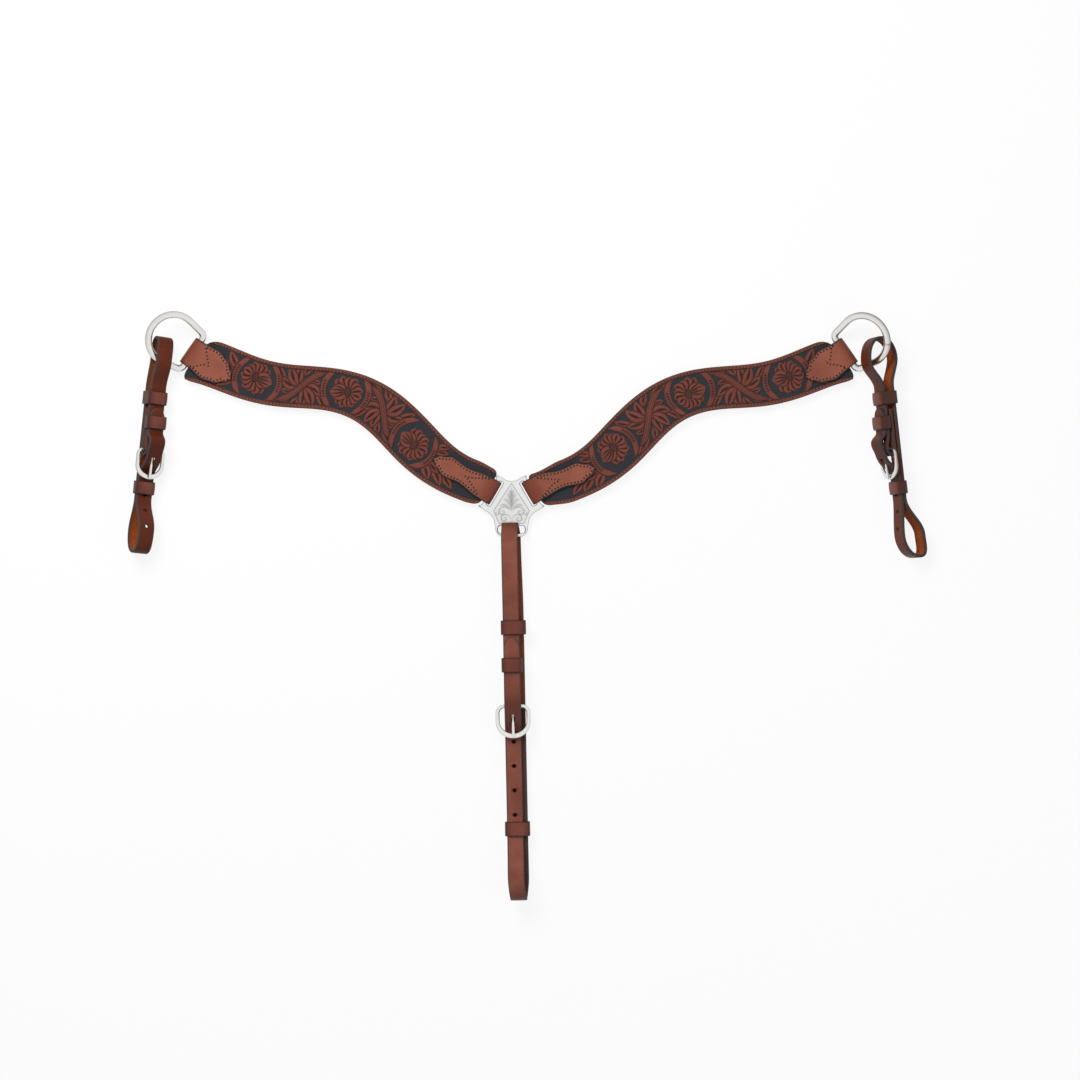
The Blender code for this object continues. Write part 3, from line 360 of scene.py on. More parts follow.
# band of leather along a run: grain to the right of travel in the X-Y plane, width square to the run
def bandRings(run, halves, stock):
    travel = np.gradient(run, axis=0)
    flat = travel[:, :2] / np.linalg.norm(travel[:, :2], axis=1)[:, None]
    out = np.stack([flat[:, 1], -flat[:, 0], np.zeros(len(run))], axis=1)
    travel /= np.linalg.norm(travel, axis=1)[:, None]
    across = np.cross(out, travel)
    deep, corner = stock["thickness"] / 2.0, stock["corner"]
    # one edge from the face round to the back: how far round, level, grain and dye
    edge = [(math.cos(arc), deep - corner + corner * math.sin(arc), 1.0 if arc > 0.9 else 0.6, 1.0)
            for arc in np.radians([60.0, 30.0, 0.0])]
    edge += [(math.cos(arc), -deep + corner - corner * math.sin(arc), 0.4, 1.0 if arc < 1.2 else 0.25)
             for arc in np.radians([0.0, 30.0, 60.0, 90.0])]
    # the dye runs in over the face from each edge, partly as painted shade along the edge
    inkedAndShaded, inner = stock["inkedAndShaded"], 0.55
    spots = [(share, 0.0, deep, 1.0, 0.9 if abs(share) == 1.0 else 0.0)
             for share in (-1.0, -inkedAndShaded, -inner, 0.0, inner, inkedAndShaded, 1.0)]
    spots += [(1.0,) + spot for spot in edge]
    spots += [(share, 0.0, -deep, 0.0, 0.0) for share in (inner, 0.0, -inner)]
    spots += [(-1.0, -spot[0]) + spot[1:] for spot in reversed(edge)]
    rings = np.zeros((len(run), len(spots), 3))
    turnIn = np.minimum(corner, 0.85 * halves)
    for j, (share, turn, level, _, _) in enumerate(spots):
        aside = share * (halves - turnIn) + turn * turnIn
        rise = level + (stock["crown"] * (1.0 - share * share) if level >= deep else 0.0)
        rings[:, j] = run + out * rise + across * aside[:, None]
    # painted shade on folds and loops: how sharply the run turns, evened out over a few millimetres
    evenedOver, sharpRadius, ignored = 0.006, 0.0065, 0.12
    lengths = lengthsOf(run)
    steps = np.gradient(lengths)
    curl = np.abs(np.gradient(np.unwrap(np.arctan2(flat[:, 1], flat[:, 0]))))
    near = np.exp(-((lengths[:, None] - lengths[None, :]) / evenedOver) ** 2)
    foldShade = np.clip((near @ curl) / (near @ steps) * sharpRadius - ignored, 0.0, 1.0)
    marks = {"grainSide": np.tile([spot[3] for spot in spots], len(run)),
             "edgeDyeAndShade": np.tile([spot[4] for spot in spots], len(run)),
             "paintedFoldShade": np.repeat(foldShade, len(spots))}
    return rings, marks


def lengthsOf(run):
    steps = np.linalg.norm(np.diff(run, axis=0), axis=1)
    return np.concatenate([[0.0], np.cumsum(steps)])


def takeAlong(run, wanted):
    lengths = lengthsOf(run)
    return np.stack([np.interp(wanted, lengths, run[:, k]) for k in range(run.shape[1])], axis=1)


def roundTurns(count):
    return np.linspace(0.0, 2.0 * math.pi, count + 1)[:-1]


# the way out of a closed flat path, at each of its points
def outwardOf(path):
    travel = np.roll(path, -1, axis=0) - np.roll(path, 1, axis=0)
    travel /= np.linalg.norm(travel, axis=1)[:, None]
    return np.stack([travel[:, 1], -travel[:, 0]], axis=1)


# stock swept along a flat path: its section is given across the path and out of the path's plane
def sweep(path, sideways, across, lift, axes=(0, 1, 2)):
    rings = np.zeros(across.shape + (3,))
    rings[:, :, axes[0]] = path[:, 0, None] + sideways[:, 0, None] * across
    rings[:, :, axes[1]] = path[:, 1, None] + sideways[:, 1, None] * across
    rings[:, :, axes[2]] = lift
    return rings


# PANELS: an S curve with floral carving pressed into it
panelSettings = {
    "widths": ((0.0, 0.0400), (0.035, 0.0500), (0.120, 0.0578), (0.250, 0.0490), (0.370, 0.0532)),
    "front": 0.0034, "lining": 0.0020, "gap": 0.0003, "corners": (0.0080, 0.0180), "edgeRound": 0.0010,
    "liningRound": 0.0007, "heading": 34.5, "drift": -19.7, "driftLength": 0.400, "swing": 18.1,
    "wave": 0.257, "crest": 0.129, "endTurn": -27.6, "endFrom": 0.300, "endLength": 0.100,
    "start": (0.0223, 0.0207), "reach": {"left": -0.0085, "right": 0.0085},
    "barCentre": (0.0231, 0.0188), "barTurn": 30.0, "barWidth": 0.0042, "innerSetback": 0.0022,
    "ringBar": (0.3750, 0.1785), "ringTurn": 35.0, "ringStock": 0.0080, "outerSetback": 0.0014,
    "rows": 800, "columns": 104, "liningRows": 260, "liningColumns": 30,
    # dyed edges: how far in from the edge, and over what distance they fade
    "dyedEdge": (0.0012, 0.0008), "liningEdge": (0.0010, 0.0007),
}
# in millimetres: flowers are places along and across the panel, with the way they open in degrees
carvingSettings = {
    "cell": 0.35, "span": (-24.0, 444.0), "halfSpan": 31.0, "depth": 1.35, "border": 4.3,
    "stitchInset": 2.7, "stitchPitch": 4.0, "channel": 0.55, "channelDepth": 0.30,
    "hollowReach": 1.1, "hollowGain": 1.3, "hollowDark": 0.5,
    "bevel": 0.75, "bevelReach": 1.3, "softEdge": (-0.30, 0.35), "lineAt": 0.40, "lineWidth": 0.70,
    "flowers": {"left": ((114.0, -2.5, 180.0), (213.0, 0.5, 170.0), (316.0, 2.0, 10.0)),
                "right": ((99.0, 3.0, 15.0), (211.0, 0.0, 190.0), (324.0, 1.2, 0.0))},
    "flowerRadius": 20.4, "petals": 12, "fan": 268.0, "arcRadius": 26.0, "arcSweep": 56.0, "arcStamps": 17,
    "stemWidth": 3.1, "stemSpine": ((-26.0, -17.0), (-9.0, -17.0), (9.0, 17.0), (26.0, 17.0)),
    # leaves: root, knee, tip and half width
    "sprays": (
        ((-12.0, -14.5), (-22.0, -21.0), (-35.0, -21.5), 4.0),
        ((4.0, 12.0), (4.0, 19.0), (13.0, 23.5), 4.2),
        ((-8.0, -6.0), (-16.0, -8.0), (-22.0, -4.0), 3.4),
        ((-0.5, 1.0), (-6.0, 11.0), (0.5, 24.0), 5.2),
        ((-16.0, 6.0), (-25.0, 13.0), (-28.0, 24.0), 4.2),
        ((-3.0, -1.0), (-14.0, -1.0), (-23.0, 9.5), 5.4),
        ((-2.5, 0.5), (-12.0, 8.0), (-12.5, 24.0), 5.8)),
    "innerLeaves": (
        ((-20.0, -8.0), (-27.0, -9.0), (-38.0, -18.5), 4.6),
        ((-8.0, -9.0), (-17.0, -9.5), (-26.0, -21.0), 5.0),
        ((1.0, -4.0), (-6.0, -7.0), (-18.0, -9.0), 4.4),
        ((4.0, -12.0), (-5.0, -12.0), (-12.0, -23.5), 5.2),
        ((3.0, 8.0), (-4.0, 12.0), (-16.0, 15.0), 4.4),
        ((2.0, 14.0), (-2.0, 18.0), (-14.0, 23.0), 3.8)),
    "outerLeaves": (
        ((-1.0, 2.0), (9.0, 2.0), (20.0, 11.0), 5.0),
        ((-1.0, -2.0), (9.0, -3.0), (20.0, -10.0), 5.0),
        ((-3.0, 7.0), (7.0, 9.0), (14.0, 23.0), 5.2),
        ((-3.0, -7.0), (7.0, -9.0), (16.0, -22.0), 5.2)),
}
plateCentre = (jointPlace("left_panel_hinge") + jointPlace("right_panel_hinge")) / 2.0
plateCentre -= Vector((0.0, panelSettings["barCentre"][1], 0.0))
stack = panelSettings["front"] + panelSettings["lining"] + 3.0 * panelSettings["gap"]
liningBase = -stack / 2.0 + panelSettings["gap"]
frontBase = liningBase + panelSettings["lining"] + panelSettings["gap"]


def heading(degrees):
    return np.array([math.cos(math.radians(degrees)), math.sin(math.radians(degrees))])


# a value blended softly between named places
def blend(places, share):
    share = np.asarray(share, float)
    value = np.full(share.shape, float(places[-1][1]))
    for (x0, y0), (x1, y1) in reversed(list(zip(places, places[1:]))):
        t = np.clip((share - x0) / (x1 - x0), 0.0, 1.0)
        value = np.where(share <= x1, y0 + (y1 - y0) * t * t * (3.0 - 2.0 * t), value)
    return value


def panelLine(side):
    shape = panelSettings
    step = 0.001
    along = np.arange(-0.020, shape["driftLength"] + 0.040, step)
    def bearing(distance):
        wave = np.cos(2.0 * np.pi * (distance - shape["crest"]) / shape["wave"])
        end = np.maximum(0.0, distance - shape["endFrom"]) / shape["endLength"]
        mean = shape["heading"] + shape["drift"] * distance / shape["driftLength"]
        return np.radians(mean + shape["swing"] * wave + shape["endTurn"] * end * end)
    middle = bearing(along[:-1] + step / 2.0)
    moves = np.stack([np.cos(middle), np.sin(middle)], axis=1) * step
    line = np.concatenate([[[0.0, 0.0]], np.cumsum(moves, axis=0)])
    atStart = np.array([np.interp(0.0, along, line[:, 0]), np.interp(0.0, along, line[:, 1])])
    line += np.array(shape["start"]) + np.array([shape["reach"][side], 0.0]) - atStart
    turn = bearing(along)
    normal = np.stack([-np.sin(turn), np.cos(turn)], axis=1)
    half = blend(shape["widths"], np.maximum(along, 0.0)) / 2.0
    return along, line, normal, half


# where a line at one share of the width meets the slanted ends, with their corners rounded
def panelEnds(side, share):
    shape = panelSettings
    along, line, normal, half = panelLine(side)
    edge = line + normal * (half * share)[:, None]
    inner = heading(shape["barTurn"])
    innerCut = np.array(shape["barCentre"]) + inner * (shape["barWidth"] / 2.0 + shape["innerSetback"])
    outer = heading(shape["ringTurn"])
    outerCut = np.array(shape["ringBar"]) + np.array([shape["reach"][side], 0.0])
    outerCut = outerCut - outer * (shape["ringStock"] / 2.0 + shape["outerSetback"])
    first = np.interp(0.0, (edge - innerCut) @ inner, along)
    last = np.interp(0.0, (edge - outerCut) @ outer, along)
    flow = np.gradient(edge, along, axis=0)
    ends = []
    for end, cut, way, corner in zip((first, last), (inner, outer), (1.0, -1.0), shape["corners"]):
        ahead = np.array([np.interp(end, along, flow[:, 0]), np.interp(end, along, flow[:, 1])])
        stretch = np.linalg.norm(ahead)
        fromEdge = np.interp(end, along, half) * (1.0 - abs(share)) / (ahead @ cut / stretch)
        ends.append(end + way * corner / stretch * (1.0 - math.sqrt(min(fromEdge / corner, 1.0))) ** 2)
    return ends


def panelGrid(side, shares, rows):
    along, line, normal, half = panelLine(side)
    ends = np.array([panelEnds(side, share) for share in shares])
    near = np.array([0.0, 0.12, 0.35, 0.65, 1.0]) * mm / 0.40
    inner = np.linspace(near[-1], 1.0 - near[-1], rows - 2 * (len(near) - 1))
    steps = np.concatenate([near[:-1], inner, 1.0 - near[-2::-1]])
    distance = ends[None, :, 0] + (ends[:, 1] - ends[:, 0])[None, :] * steps[:, None]
    halves = np.interp(distance, along, half)
    offset = halves * np.asarray(shares)[None, :]
    x = np.interp(distance, along, line[:, 0]) + np.interp(distance, along, normal[:, 0]) * offset
    y = np.interp(distance, along, line[:, 1]) + np.interp(distance, along, normal[:, 1]) * offset
    fromEnd = np.minimum(distance - ends[None, :, 0], ends[None, :, 1] - distance)
    fromEdge = np.minimum(halves - np.abs(offset), fromEnd)
    return sides[side] * x + plateCentre.x, y + plateCentre.y, distance, offset, fromEdge


# the carving is worked out flat, in millimetres along and across the panel
def blankCarving():
    cell = carvingSettings["cell"]
    along = np.arange(*carvingSettings["span"], cell)
    across = np.arange(-carvingSettings["halfSpan"], carvingSettings["halfSpan"] + cell, cell)
    shape = (len(along), len(across))
    return {"along": along, "across": across, "height": np.zeros(shape), "work": np.zeros(shape),
            "cut": np.zeros(shape)}


def window(flat, low, high):
    cell = carvingSettings["cell"]
    first = max(0, int((low[0] - flat["along"][0]) / cell))
    last = min(len(flat["along"]), int((high[0] - flat["along"][0]) / cell) + 2)
    left = max(0, int((low[1] - flat["across"][0]) / cell))
    right = min(len(flat["across"]), int((high[1] - flat["across"][0]) / cell) + 2)
    rows, columns = slice(first, last), slice(left, right)
    s, t = np.meshgrid(flat["along"][rows], flat["across"][columns], indexing="ij")
    return (rows, columns), s, t


def ease(value, low, high):
    share = np.clip((value - low) / (high - low), 0.0, 1.0)
    return share * share * (3.0 - 2.0 * share)


# a shape pressed in over what is there: it is bevelled down all round, and inside it takes the given height
def press(flat, area, distance, height, cut=0.0):
    want = carvingSettings
    old = flat["height"][area]
    bevel = want["bevel"] * np.exp(-(np.maximum(distance, 0.0) / want["bevelReach"]) ** 2)
    inside = ease(-distance, *want["softEdge"])
    flat["height"][area] = old * (1.0 - bevel) * (1.0 - inside) + height * inside
    flat["work"][area] = np.maximum(flat["work"][area], inside)
    outline = np.exp(-((distance - want["lineAt"]) / want["lineWidth"]) ** 2)
    shadow = np.maximum(flat["cut"][area], outline * (flat["work"][area] > 0.4))
    flat["cut"][area] = shadow * (1.0 - inside) + np.maximum(cut, 0.55 * outline) * inside


def bend(points, count):
    points = np.asarray(points, float)
    t = np.linspace(0.0, 1.0, count)[:, None]
    if len(points) == 3:
        return points[0] * (1 - t) ** 2 + 2 * points[1] * t * (1 - t) + points[2] * t ** 2
    return (points[0] * (1 - t) ** 3 + 3 * points[1] * t * (1 - t) ** 2
            + 3 * points[2] * t ** 2 * (1 - t) + points[3] * t ** 3)


def nearSpine(s, t, spine):
    apart = (s[..., None] - spine[:, 0]) ** 2 + (t[..., None] - spine[:, 1]) ** 2
    nearest = apart.argmin(axis=-1)
    return np.sqrt(apart.min(axis=-1)), nearest / (len(spine) - 1.0)


# a leaf or petal on a bent spine, with a dark hollow towards its tip and a vein running into it
# fullest and pointed shape its outline, hollow and opening place and size the hollow, all as shares
def leaf(flat, points, width, fullest=1.0, hollow=0.60, opening=0.27, pointed=0.0):
    spine = bend(points, 44)
    area, s, t = window(flat, spine.min(axis=0) - width - 3.0, spine.max(axis=0) + width + 3.0)
    apart, share = nearSpine(s, t, spine)
    half = width * np.sin(np.pi * share ** fullest) ** (0.80 + pointed * share ** 2)
    near = np.clip(apart / np.maximum(half, 0.2), 0.0, 1.0)
    drop = np.maximum(0.0, 1.0 - ((share - hollow) / 0.27) ** 2)
    scoop = ease(opening * half * drop ** 0.5 - apart, -0.30, 0.35)
    vein = np.exp(-(apart / 0.55) ** 2) * ease(share, 0.05, 0.15) * ease(hollow + 0.05 - share, 0.0, 0.15)
    height = 1.0 - 0.30 * near ** 2 - 0.60 * scoop - 0.30 * vein
    press(flat, area, apart - half, height, np.maximum(scoop, 0.85 * vein))


# a plain dark cut
def slit(flat, spine, width):
    area, s, t = window(flat, spine.min(axis=0) - 3.0, spine.max(axis=0) + 3.0)
    apart, share = nearSpine(s, t, spine)
    mark = ease(width * (0.35 + 0.65 * np.sin(np.pi * share ** 0.7)) - apart, -0.25, 0.30)
    flat["height"][area] -= 0.45 * mark
    flat["cut"][area] = np.maximum(flat["cut"][area], 0.95 * mark)


# a stem: rounded, with two lines scored along it, or a row of dark stamps down its middle
def stem(flat, spine, width, stamps=0):
    area, s, t = window(flat, spine.min(axis=0) - width - 3.0, spine.max(axis=0) + width + 3.0)
    apart, share = nearSpine(s, t, spine)
    half = width * (0.40 + 0.60 * ease(share, 0.0, 0.15)) * (0.40 + 0.60 * ease(1.0 - share, 0.0, 0.15))
    line = np.exp(-((apart - 0.42 * half) / 0.40) ** 2)
    if stamps:
        beat = np.abs((share * stamps) % 1.0 - 0.5)
        line = ease(0.30 - beat, -0.10, 0.12) * ease(0.55 * half - apart, -0.25, 0.30)
        line = line * ease(0.24 - np.abs(share - 0.5), 0.0, 0.03)
    height = 1.0 - 0.25 * np.clip(apart / half, 0.0, 1.0) ** 2 - 0.40 * line
    press(flat, area, apart - half, height, (0.95 if stamps else 0.75) * line)


# a flower seen half from the side: petals fanned round the seed head, one broad petal folded up behind it
# its sizes are shares of its radius
def flower(flat, centre, opens):
    want = carvingSettings
    radius = want["flowerRadius"]
    facing = heading(opens)
    beside = np.array([-facing[1], facing[0]])
    seed = np.array(centre) + facing * 0.12 * radius
    order = sorted(range(want["petals"]), key=lambda i: -abs(i - (want["petals"] - 1) / 2.0))
    for i in order:
        swing = (i / (want["petals"] - 1.0) - 0.5) * want["fan"]
        far = heading(opens + swing)
        turn = np.array([-far[1], far[0]]) * radius * 0.05 * (1.0 if swing > 0.0 else -1.0)
        tip = radius * (0.88 + 0.12 * (swing / 125.0) ** 2 + 0.05 * math.sin(2.6 * i))
        spine = (seed + far * 0.10 * radius, seed + far * 0.60 * tip + turn, seed + far * tip)
        leaf(flat, spine, 0.255 * radius, fullest=1.45, hollow=0.56, opening=0.24, pointed=0.90)
    spine = (seed + facing * 0.05 * radius, seed - facing * 0.5 * radius + beside * 0.06 * radius,
             seed - facing * 1.02 * radius)
    leaf(flat, spine, 0.46 * radius, fullest=0.92, hollow=0.5, opening=0.0)
    for aside, reach in ((-0.30, 0.72), (-0.12, 0.86), (0.10, 0.88), (0.29, 0.74)):
        root = seed - facing * 0.18 * radius + beside * 0.35 * aside * radius
        end = seed - facing * reach * radius + beside * aside * radius
        slit(flat, bend((root, (root + end) / 2.0 + beside * aside * 0.28 * radius, end), 30), 0.95)
    area, s, t = window(flat, seed - 8.0, seed + 8.0)
    long = ((s - seed[0]) * beside[0] + (t - seed[1]) * beside[1]) / (0.235 * radius)
    wide = ((s - seed[0]) * facing[0] + (t - seed[1]) * facing[1]) / (0.155 * radius)
    apart = np.hypot(long, wide)
    seeds = 0.5 + 0.5 * np.cos(long * 9.0) * np.cos(wide * 6.0 + long * 3.0)
    height = 1.0 - 0.30 * apart ** 2 - 0.30 * seeds
    press(flat, area, (apart - 1.0) * 0.19 * radius, height, 0.45 + 0.50 * seeds)


def carvePattern(side):
    flat = blankCarving()
    want = carvingSettings
    flowers = want["flowers"][side]
    # a spray fills each space between two flowers, the same on both sides of the stem's middle
    for k, (first, last) in enumerate(zip(flowers, flowers[1:])):
        middle = (first[0] + last[0]) / 2.0
        stretch = (last[0] - first[0]) / 100.0
        rise = 1.0 if k % 2 == 0 else -1.0
        for way in (1.0, -1.0):
            for *points, width in want["sprays"]:
                leaf(flat, [(middle + way * stretch * p[0], way * rise * p[1]) for p in points], width)
        spine = [(middle + stretch * p[0], rise * p[1]) for p in want["stemSpine"]]
        stem(flat, bend(spine, 120), want["stemWidth"])
    # leaves at the two ends, partly under the tabs
    starts = (flowers[0][0] - want["arcRadius"], flowers[-1][0] + want["arcRadius"])
    for start, leaves in zip(starts, (want["innerLeaves"], want["outerLeaves"])):
        for *points, width in leaves:
            leaf(flat, [(start + p[0], p[1]) for p in points], width)
    for along, across, opens in flowers:
        for way in (0.0, 180.0):
            turns = np.linspace(way - want["arcSweep"], way + want["arcSweep"], 100)
            arc = np.array([heading(turn) for turn in turns]) * want["arcRadius"]
            stem(flat, arc + np.array([along, across * 0.4]), want["stemWidth"], want["arcStamps"])
        flower(flat, (along, across), opens)
    return flat


# the plain band along both edges, with the channel the stitches lie in
def carveBorder(flat, side):
    want = carvingSettings
    along, _, _, half = panelLine(side)
    s, t = np.meshgrid(flat["along"], flat["across"], indexing="ij")
    fromEdge = np.interp(s, along / mm, half / mm) - np.abs(t)
    channel = np.exp(-((fromEdge - want["stitchInset"]) / want["channel"]) ** 2) * want["channelDepth"]
    press(flat, (slice(None), slice(None)), fromEdge - want["border"], 1.0 - channel, channel)
    return flat


def soften(values, reach):
    cell = carvingSettings["cell"]
    spots = np.arange(-int(3 * reach / cell), int(3 * reach / cell) + 1)
    weights = np.exp(-(spots * cell / reach) ** 2 / 2.0)
    weights /= weights.sum()
    for axis in (0, 1):
        values = sum(weight * np.roll(values, spot, axis=axis) for weight, spot in zip(weights, spots))
    return values


def readFlat(flat, values, s, t):
    cell = carvingSettings["cell"]
    i = np.clip((s - flat["along"][0]) / cell, 0, values.shape[0] - 1.001)
    j = np.clip((t - flat["across"][0]) / cell, 0, values.shape[1] - 1.001)
    i0, j0 = i.astype(int), j.astype(int)
    a, b = i - i0, j - j0
    return (values[i0, j0] * (1 - a) * (1 - b) + values[i0 + 1, j0] * a * (1 - b)
            + values[i0, j0 + 1] * (1 - a) * b + values[i0 + 1, j0 + 1] * a * b)


# closed sheet from a grid of top points: walls from its rim down to a flat back
def sheetSkin(x, y, z, bottom):
    rows, columns = x.shape
    top = np.stack([x, y, z], axis=2).reshape(-1, 3)
    index = np.arange(rows * columns).reshape(rows, columns)
    rim = np.concatenate([index[0], index[1:-1, -1], index[-1, ::-1], index[-2:0:-1, 0]])
    low = top[rim].copy()
    low[:, 2] = bottom
    under = np.zeros(rows * columns, int)
    under[rim] = rows * columns + np.arange(len(rim))
    here = index[:-1, :-1].ravel()
    faces = np.stack([here, here + 1, here + columns + 1, here + columns], axis=1).tolist()
    after = np.roll(rim, -1)
    faces += np.stack([rim, under[rim], under[after], after], axis=1).tolist()
    left, right = under[index[:, 0]], under[index[:, -1]]
    faces += np.stack([left[1:-2], left[2:-1], right[2:-1], right[1:-2]], axis=1).tolist()
    faces.append(under[index[0]].tolist() + [int(right[1]), int(left[1])])
    faces.append(under[index[-1]].tolist() + [int(right[-2]), int(left[-2])])
    return np.concatenate([top, low]), faces


def edgeShares(columns):
    near = np.array([0.0, 0.10, 0.30, 0.60, 1.0, 1.5]) / 25.4
    inner = np.linspace(1.0 - near[-1], 0.0, (columns + 1) // 2 - len(near) + 1)[1:]
    half = np.concatenate([1.0 - near, inner])
    return np.concatenate([-half, half[-2::-1]])


# how far a rounded edge falls away
def edgeDrop(fromEdge, radius):
    over = np.clip(radius - fromEdge, 0.0, radius)
    return radius - np.sqrt(np.maximum(radius ** 2 - over ** 2, 0.0))


def buildPanel(side):
    shape = panelSettings
    want = carvingSettings
    flat = carveBorder(carvePattern(side), side)
    # deep places among high ones are darker
    hollow = soften(flat["height"], want["hollowReach"]) - flat["height"]
    hollow = np.clip(hollow * want["hollowGain"], 0.0, 1.0) * want["hollowDark"]
    x, y, distance, offset, fromEdge = panelGrid(side, edgeShares(shape["columns"]), shape["rows"])
    s, t = distance / mm, offset / mm
    height = np.clip(readFlat(flat, flat["height"], s, t), 0.0, 1.0)
    work = readFlat(flat, flat["work"], s, t)
    cut = np.clip(readFlat(flat, flat["cut"], s, t) + readFlat(flat, hollow, s, t), 0.0, 1.0)
    z = frontBase + shape["front"] - edgeDrop(fromEdge, shape["edgeRound"])
    z -= (1.0 - height) * want["depth"] * mm
    points, faces = sheetSkin(x, y, z + plateCentre.z, frontBase + plateCentre.z)
    reach, fade = shape["dyedEdge"]
    rim = ease(reach - fromEdge, 0.0, fade)
    tint = np.ones((len(points), 4))
    tint[:x.size, :3] = np.stack([work, cut, rim], axis=2).reshape(-1, 3)
    tint[x.size:, 1] = 0.0
    panel = makePiece(side + "_carved_panel", points, faces, "tooled", {"tooling": tint})
    print(side, "panel carved:", len(faces), "faces")
    settle(panel, side + "_panel", "tooled_leather", side + "_panel")


def buildLining(side):
    shape = panelSettings
    shares = edgeShares(shape["liningColumns"])
    x, y, _, _, fromEdge = panelGrid(side, shares, shape["liningRows"])
    # the sheet is built face down, so that its rounded edges are on the back
    z = liningBase + edgeDrop(fromEdge, shape["liningRound"]) + plateCentre.z
    points, faces = sheetSkin(x, y, z, liningBase + shape["lining"] + plateCentre.z)
    plain = np.zeros(len(points))
    dye = np.ones(len(points))
    reach, fade = shape["liningEdge"]
    dye[:x.size] = ease(reach - fromEdge, 0.0, fade).ravel()
    lining = makePiece(side + "_lining_sheet", points, faces, "lining",
                       {"grainSide": plain, "edgeDyeAndShade": dye, "paintedFoldShade": plain})
    settle(lining, side + "_panel", "lining_leather", side + "_panel_lining")


for side in sides:
    buildPanel(side)
    buildLining(side)
print("panels carved and lined")


# TABS: leaf-shaped leather folded round the plate's bar and round the ring's bar
tabSettings = {
    # the face's dyed band in from the edge is partly painted shade along the edge
    "thickness": 0.0024, "corner": 0.0010, "crown": 0.0002, "inkedAndShaded": 0.93, "leanBend": 0.020,
    "lean": {"left_plate": 0.0, "left_ring": 0.0, "right_plate": 12.0, "right_ring": 5.0},
    # the darkening towards the fold, set in each kind below, is painted shade
    "plate": {"length": 0.0770, "width": 0.0290, "back": 0.0480, "neck": 0.0060, "bar": 0.0,
              "veeStart": 0.0115, "veeEnd": 0.0345, "foldShading": 0.85,
              "shape": ((0.0, 1.0), (0.14, 0.98), (0.50, 0.72), (0.74, 0.86), (0.90, 0.52), (1.0, 0.03))},
    "ring": {"length": 0.0540, "width": 0.0350, "back": 0.0400, "neck": 0.0135, "bar": 0.0080,
             "veeStart": 0.0095, "veeEnd": 0.0240, "foldShading": 0.34,
             "shape": ((0.0, 0.96), (0.12, 0.98), (0.46, 1.10), (0.72, 0.88), (0.90, 0.44), (1.0, 0.03))},
    "stitchInset": 0.0031, "stitchPitch": 0.0039, "foldShadingLength": 0.016,
}
tabLeg = stack / 2.0 + tabSettings["thickness"] / 2.0


def tabHalf(kind, along):
    want = tabSettings[kind]
    return blend(want["shape"], np.asarray(along) / want["length"]) * want["width"] / 2.0


# height of the leather's middle above the bar, from its neck in to the fold
def tabLevel(kind, along):
    want = tabSettings[kind]
    loop = tabLeg
    if want["bar"]:
        loop = want["bar"] / 2.0 + panelSettings["gap"] + tabSettings["thickness"] / 2.0
    return tabLeg + (loop - tabLeg) * np.clip(1.0 - np.asarray(along) / want["neck"], 0.0, 1.0) ** 0.8


# sideways place and slope of a leaf that bends away from the square of its bar
def tabLean(side, kind, along):
    bendLength = tabSettings["leanBend"]
    slope = math.tan(math.radians(tabSettings["lean"][side + "_" + kind]))
    rest = np.maximum(0.0, np.asarray(along) - tabSettings[kind]["neck"])
    bent = np.minimum(rest, bendLength)
    return slope * (bent * bent / (2.0 * bendLength) + rest - bent), slope * bent / bendLength


def tabRun(side, kind):
    want = tabSettings[kind]
    loop = float(tabLevel(kind, 0.0))
    front = want["neck"] + (want["length"] - want["neck"]) * (1.0 - (np.arange(60) / 60.0) ** 1.35)
    rise = want["neck"] * np.array([0.85, 0.70, 0.55, 0.40, 0.25]) if loop > tabLeg else np.zeros(0)
    turns = np.radians(np.linspace(90.0, 270.0, 33))
    back = want["neck"] + (want["back"] - want["neck"]) * np.sin(math.pi / 2.0 * np.arange(25) / 24.0)
    along = np.concatenate([front, rise, loop * np.cos(turns), rise[::-1], back])
    level = np.concatenate([tabLevel(kind, front), tabLevel(kind, rise), loop * np.sin(turns),
                            -tabLevel(kind, rise[::-1]), -tabLevel(kind, back)])
    rest = np.maximum(0.0, back / want["back"] - 0.55) / 0.45
    fold = float(tabHalf(kind, 0.0))
    behind = fold + (want["width"] / 2.0 - fold) * np.linspace(0.0, 1.0, len(back)) ** 0.5
    halves = np.concatenate([np.maximum(tabHalf(kind, front), 0.0008), tabHalf(kind, rise),
                             np.full(len(turns) + len(rise), fold), behind * (1.0 - 0.5 * rest ** 3)])
    return np.stack([along, level, tabLean(side, kind, along)[0]], axis=1), halves


def tabMatrix(side, kind):
    hinge = side + ("_panel_hinge" if kind == "plate" else "_ring_hinge")
    axis = jointAxis(hinge)
    facing = Vector((-axis.y, axis.x, 0.0)) * (1.0 if kind == "plate" else -1.0)
    return axesMatrix(jointPlace(hinge), facing, (0.0, 0.0, 1.0))


def buildTab(side, kind):
    want = tabSettings[kind]
    run, halves = tabRun(side, kind)
    rings, marks = bandRings(run, halves, tabSettings)
    points, faces = skin(rings, False)
    # painted shade, darker towards the fold
    toFold = 2.2 * tabSettings["thickness"] + want["veeStart"] - run[:, 0]
    toFold = want["foldShading"] * ease(toFold, 0.0, tabSettings["foldShadingLength"])
    marks["paintedFoldShade"] = np.maximum(marks["paintedFoldShade"], np.repeat(toFold, rings.shape[1]))
    node = side + "_" + kind
    tab = makePiece(node + "_chape", place(points, tabMatrix(side, kind)), faces, "tab", marks)
    settle(tab, side + "_panel", "tab_leather", node + "_tab")


for side in sides:
    for kind in ("plate", "ring"):
        buildTab(side, kind)
print("tabs folded")
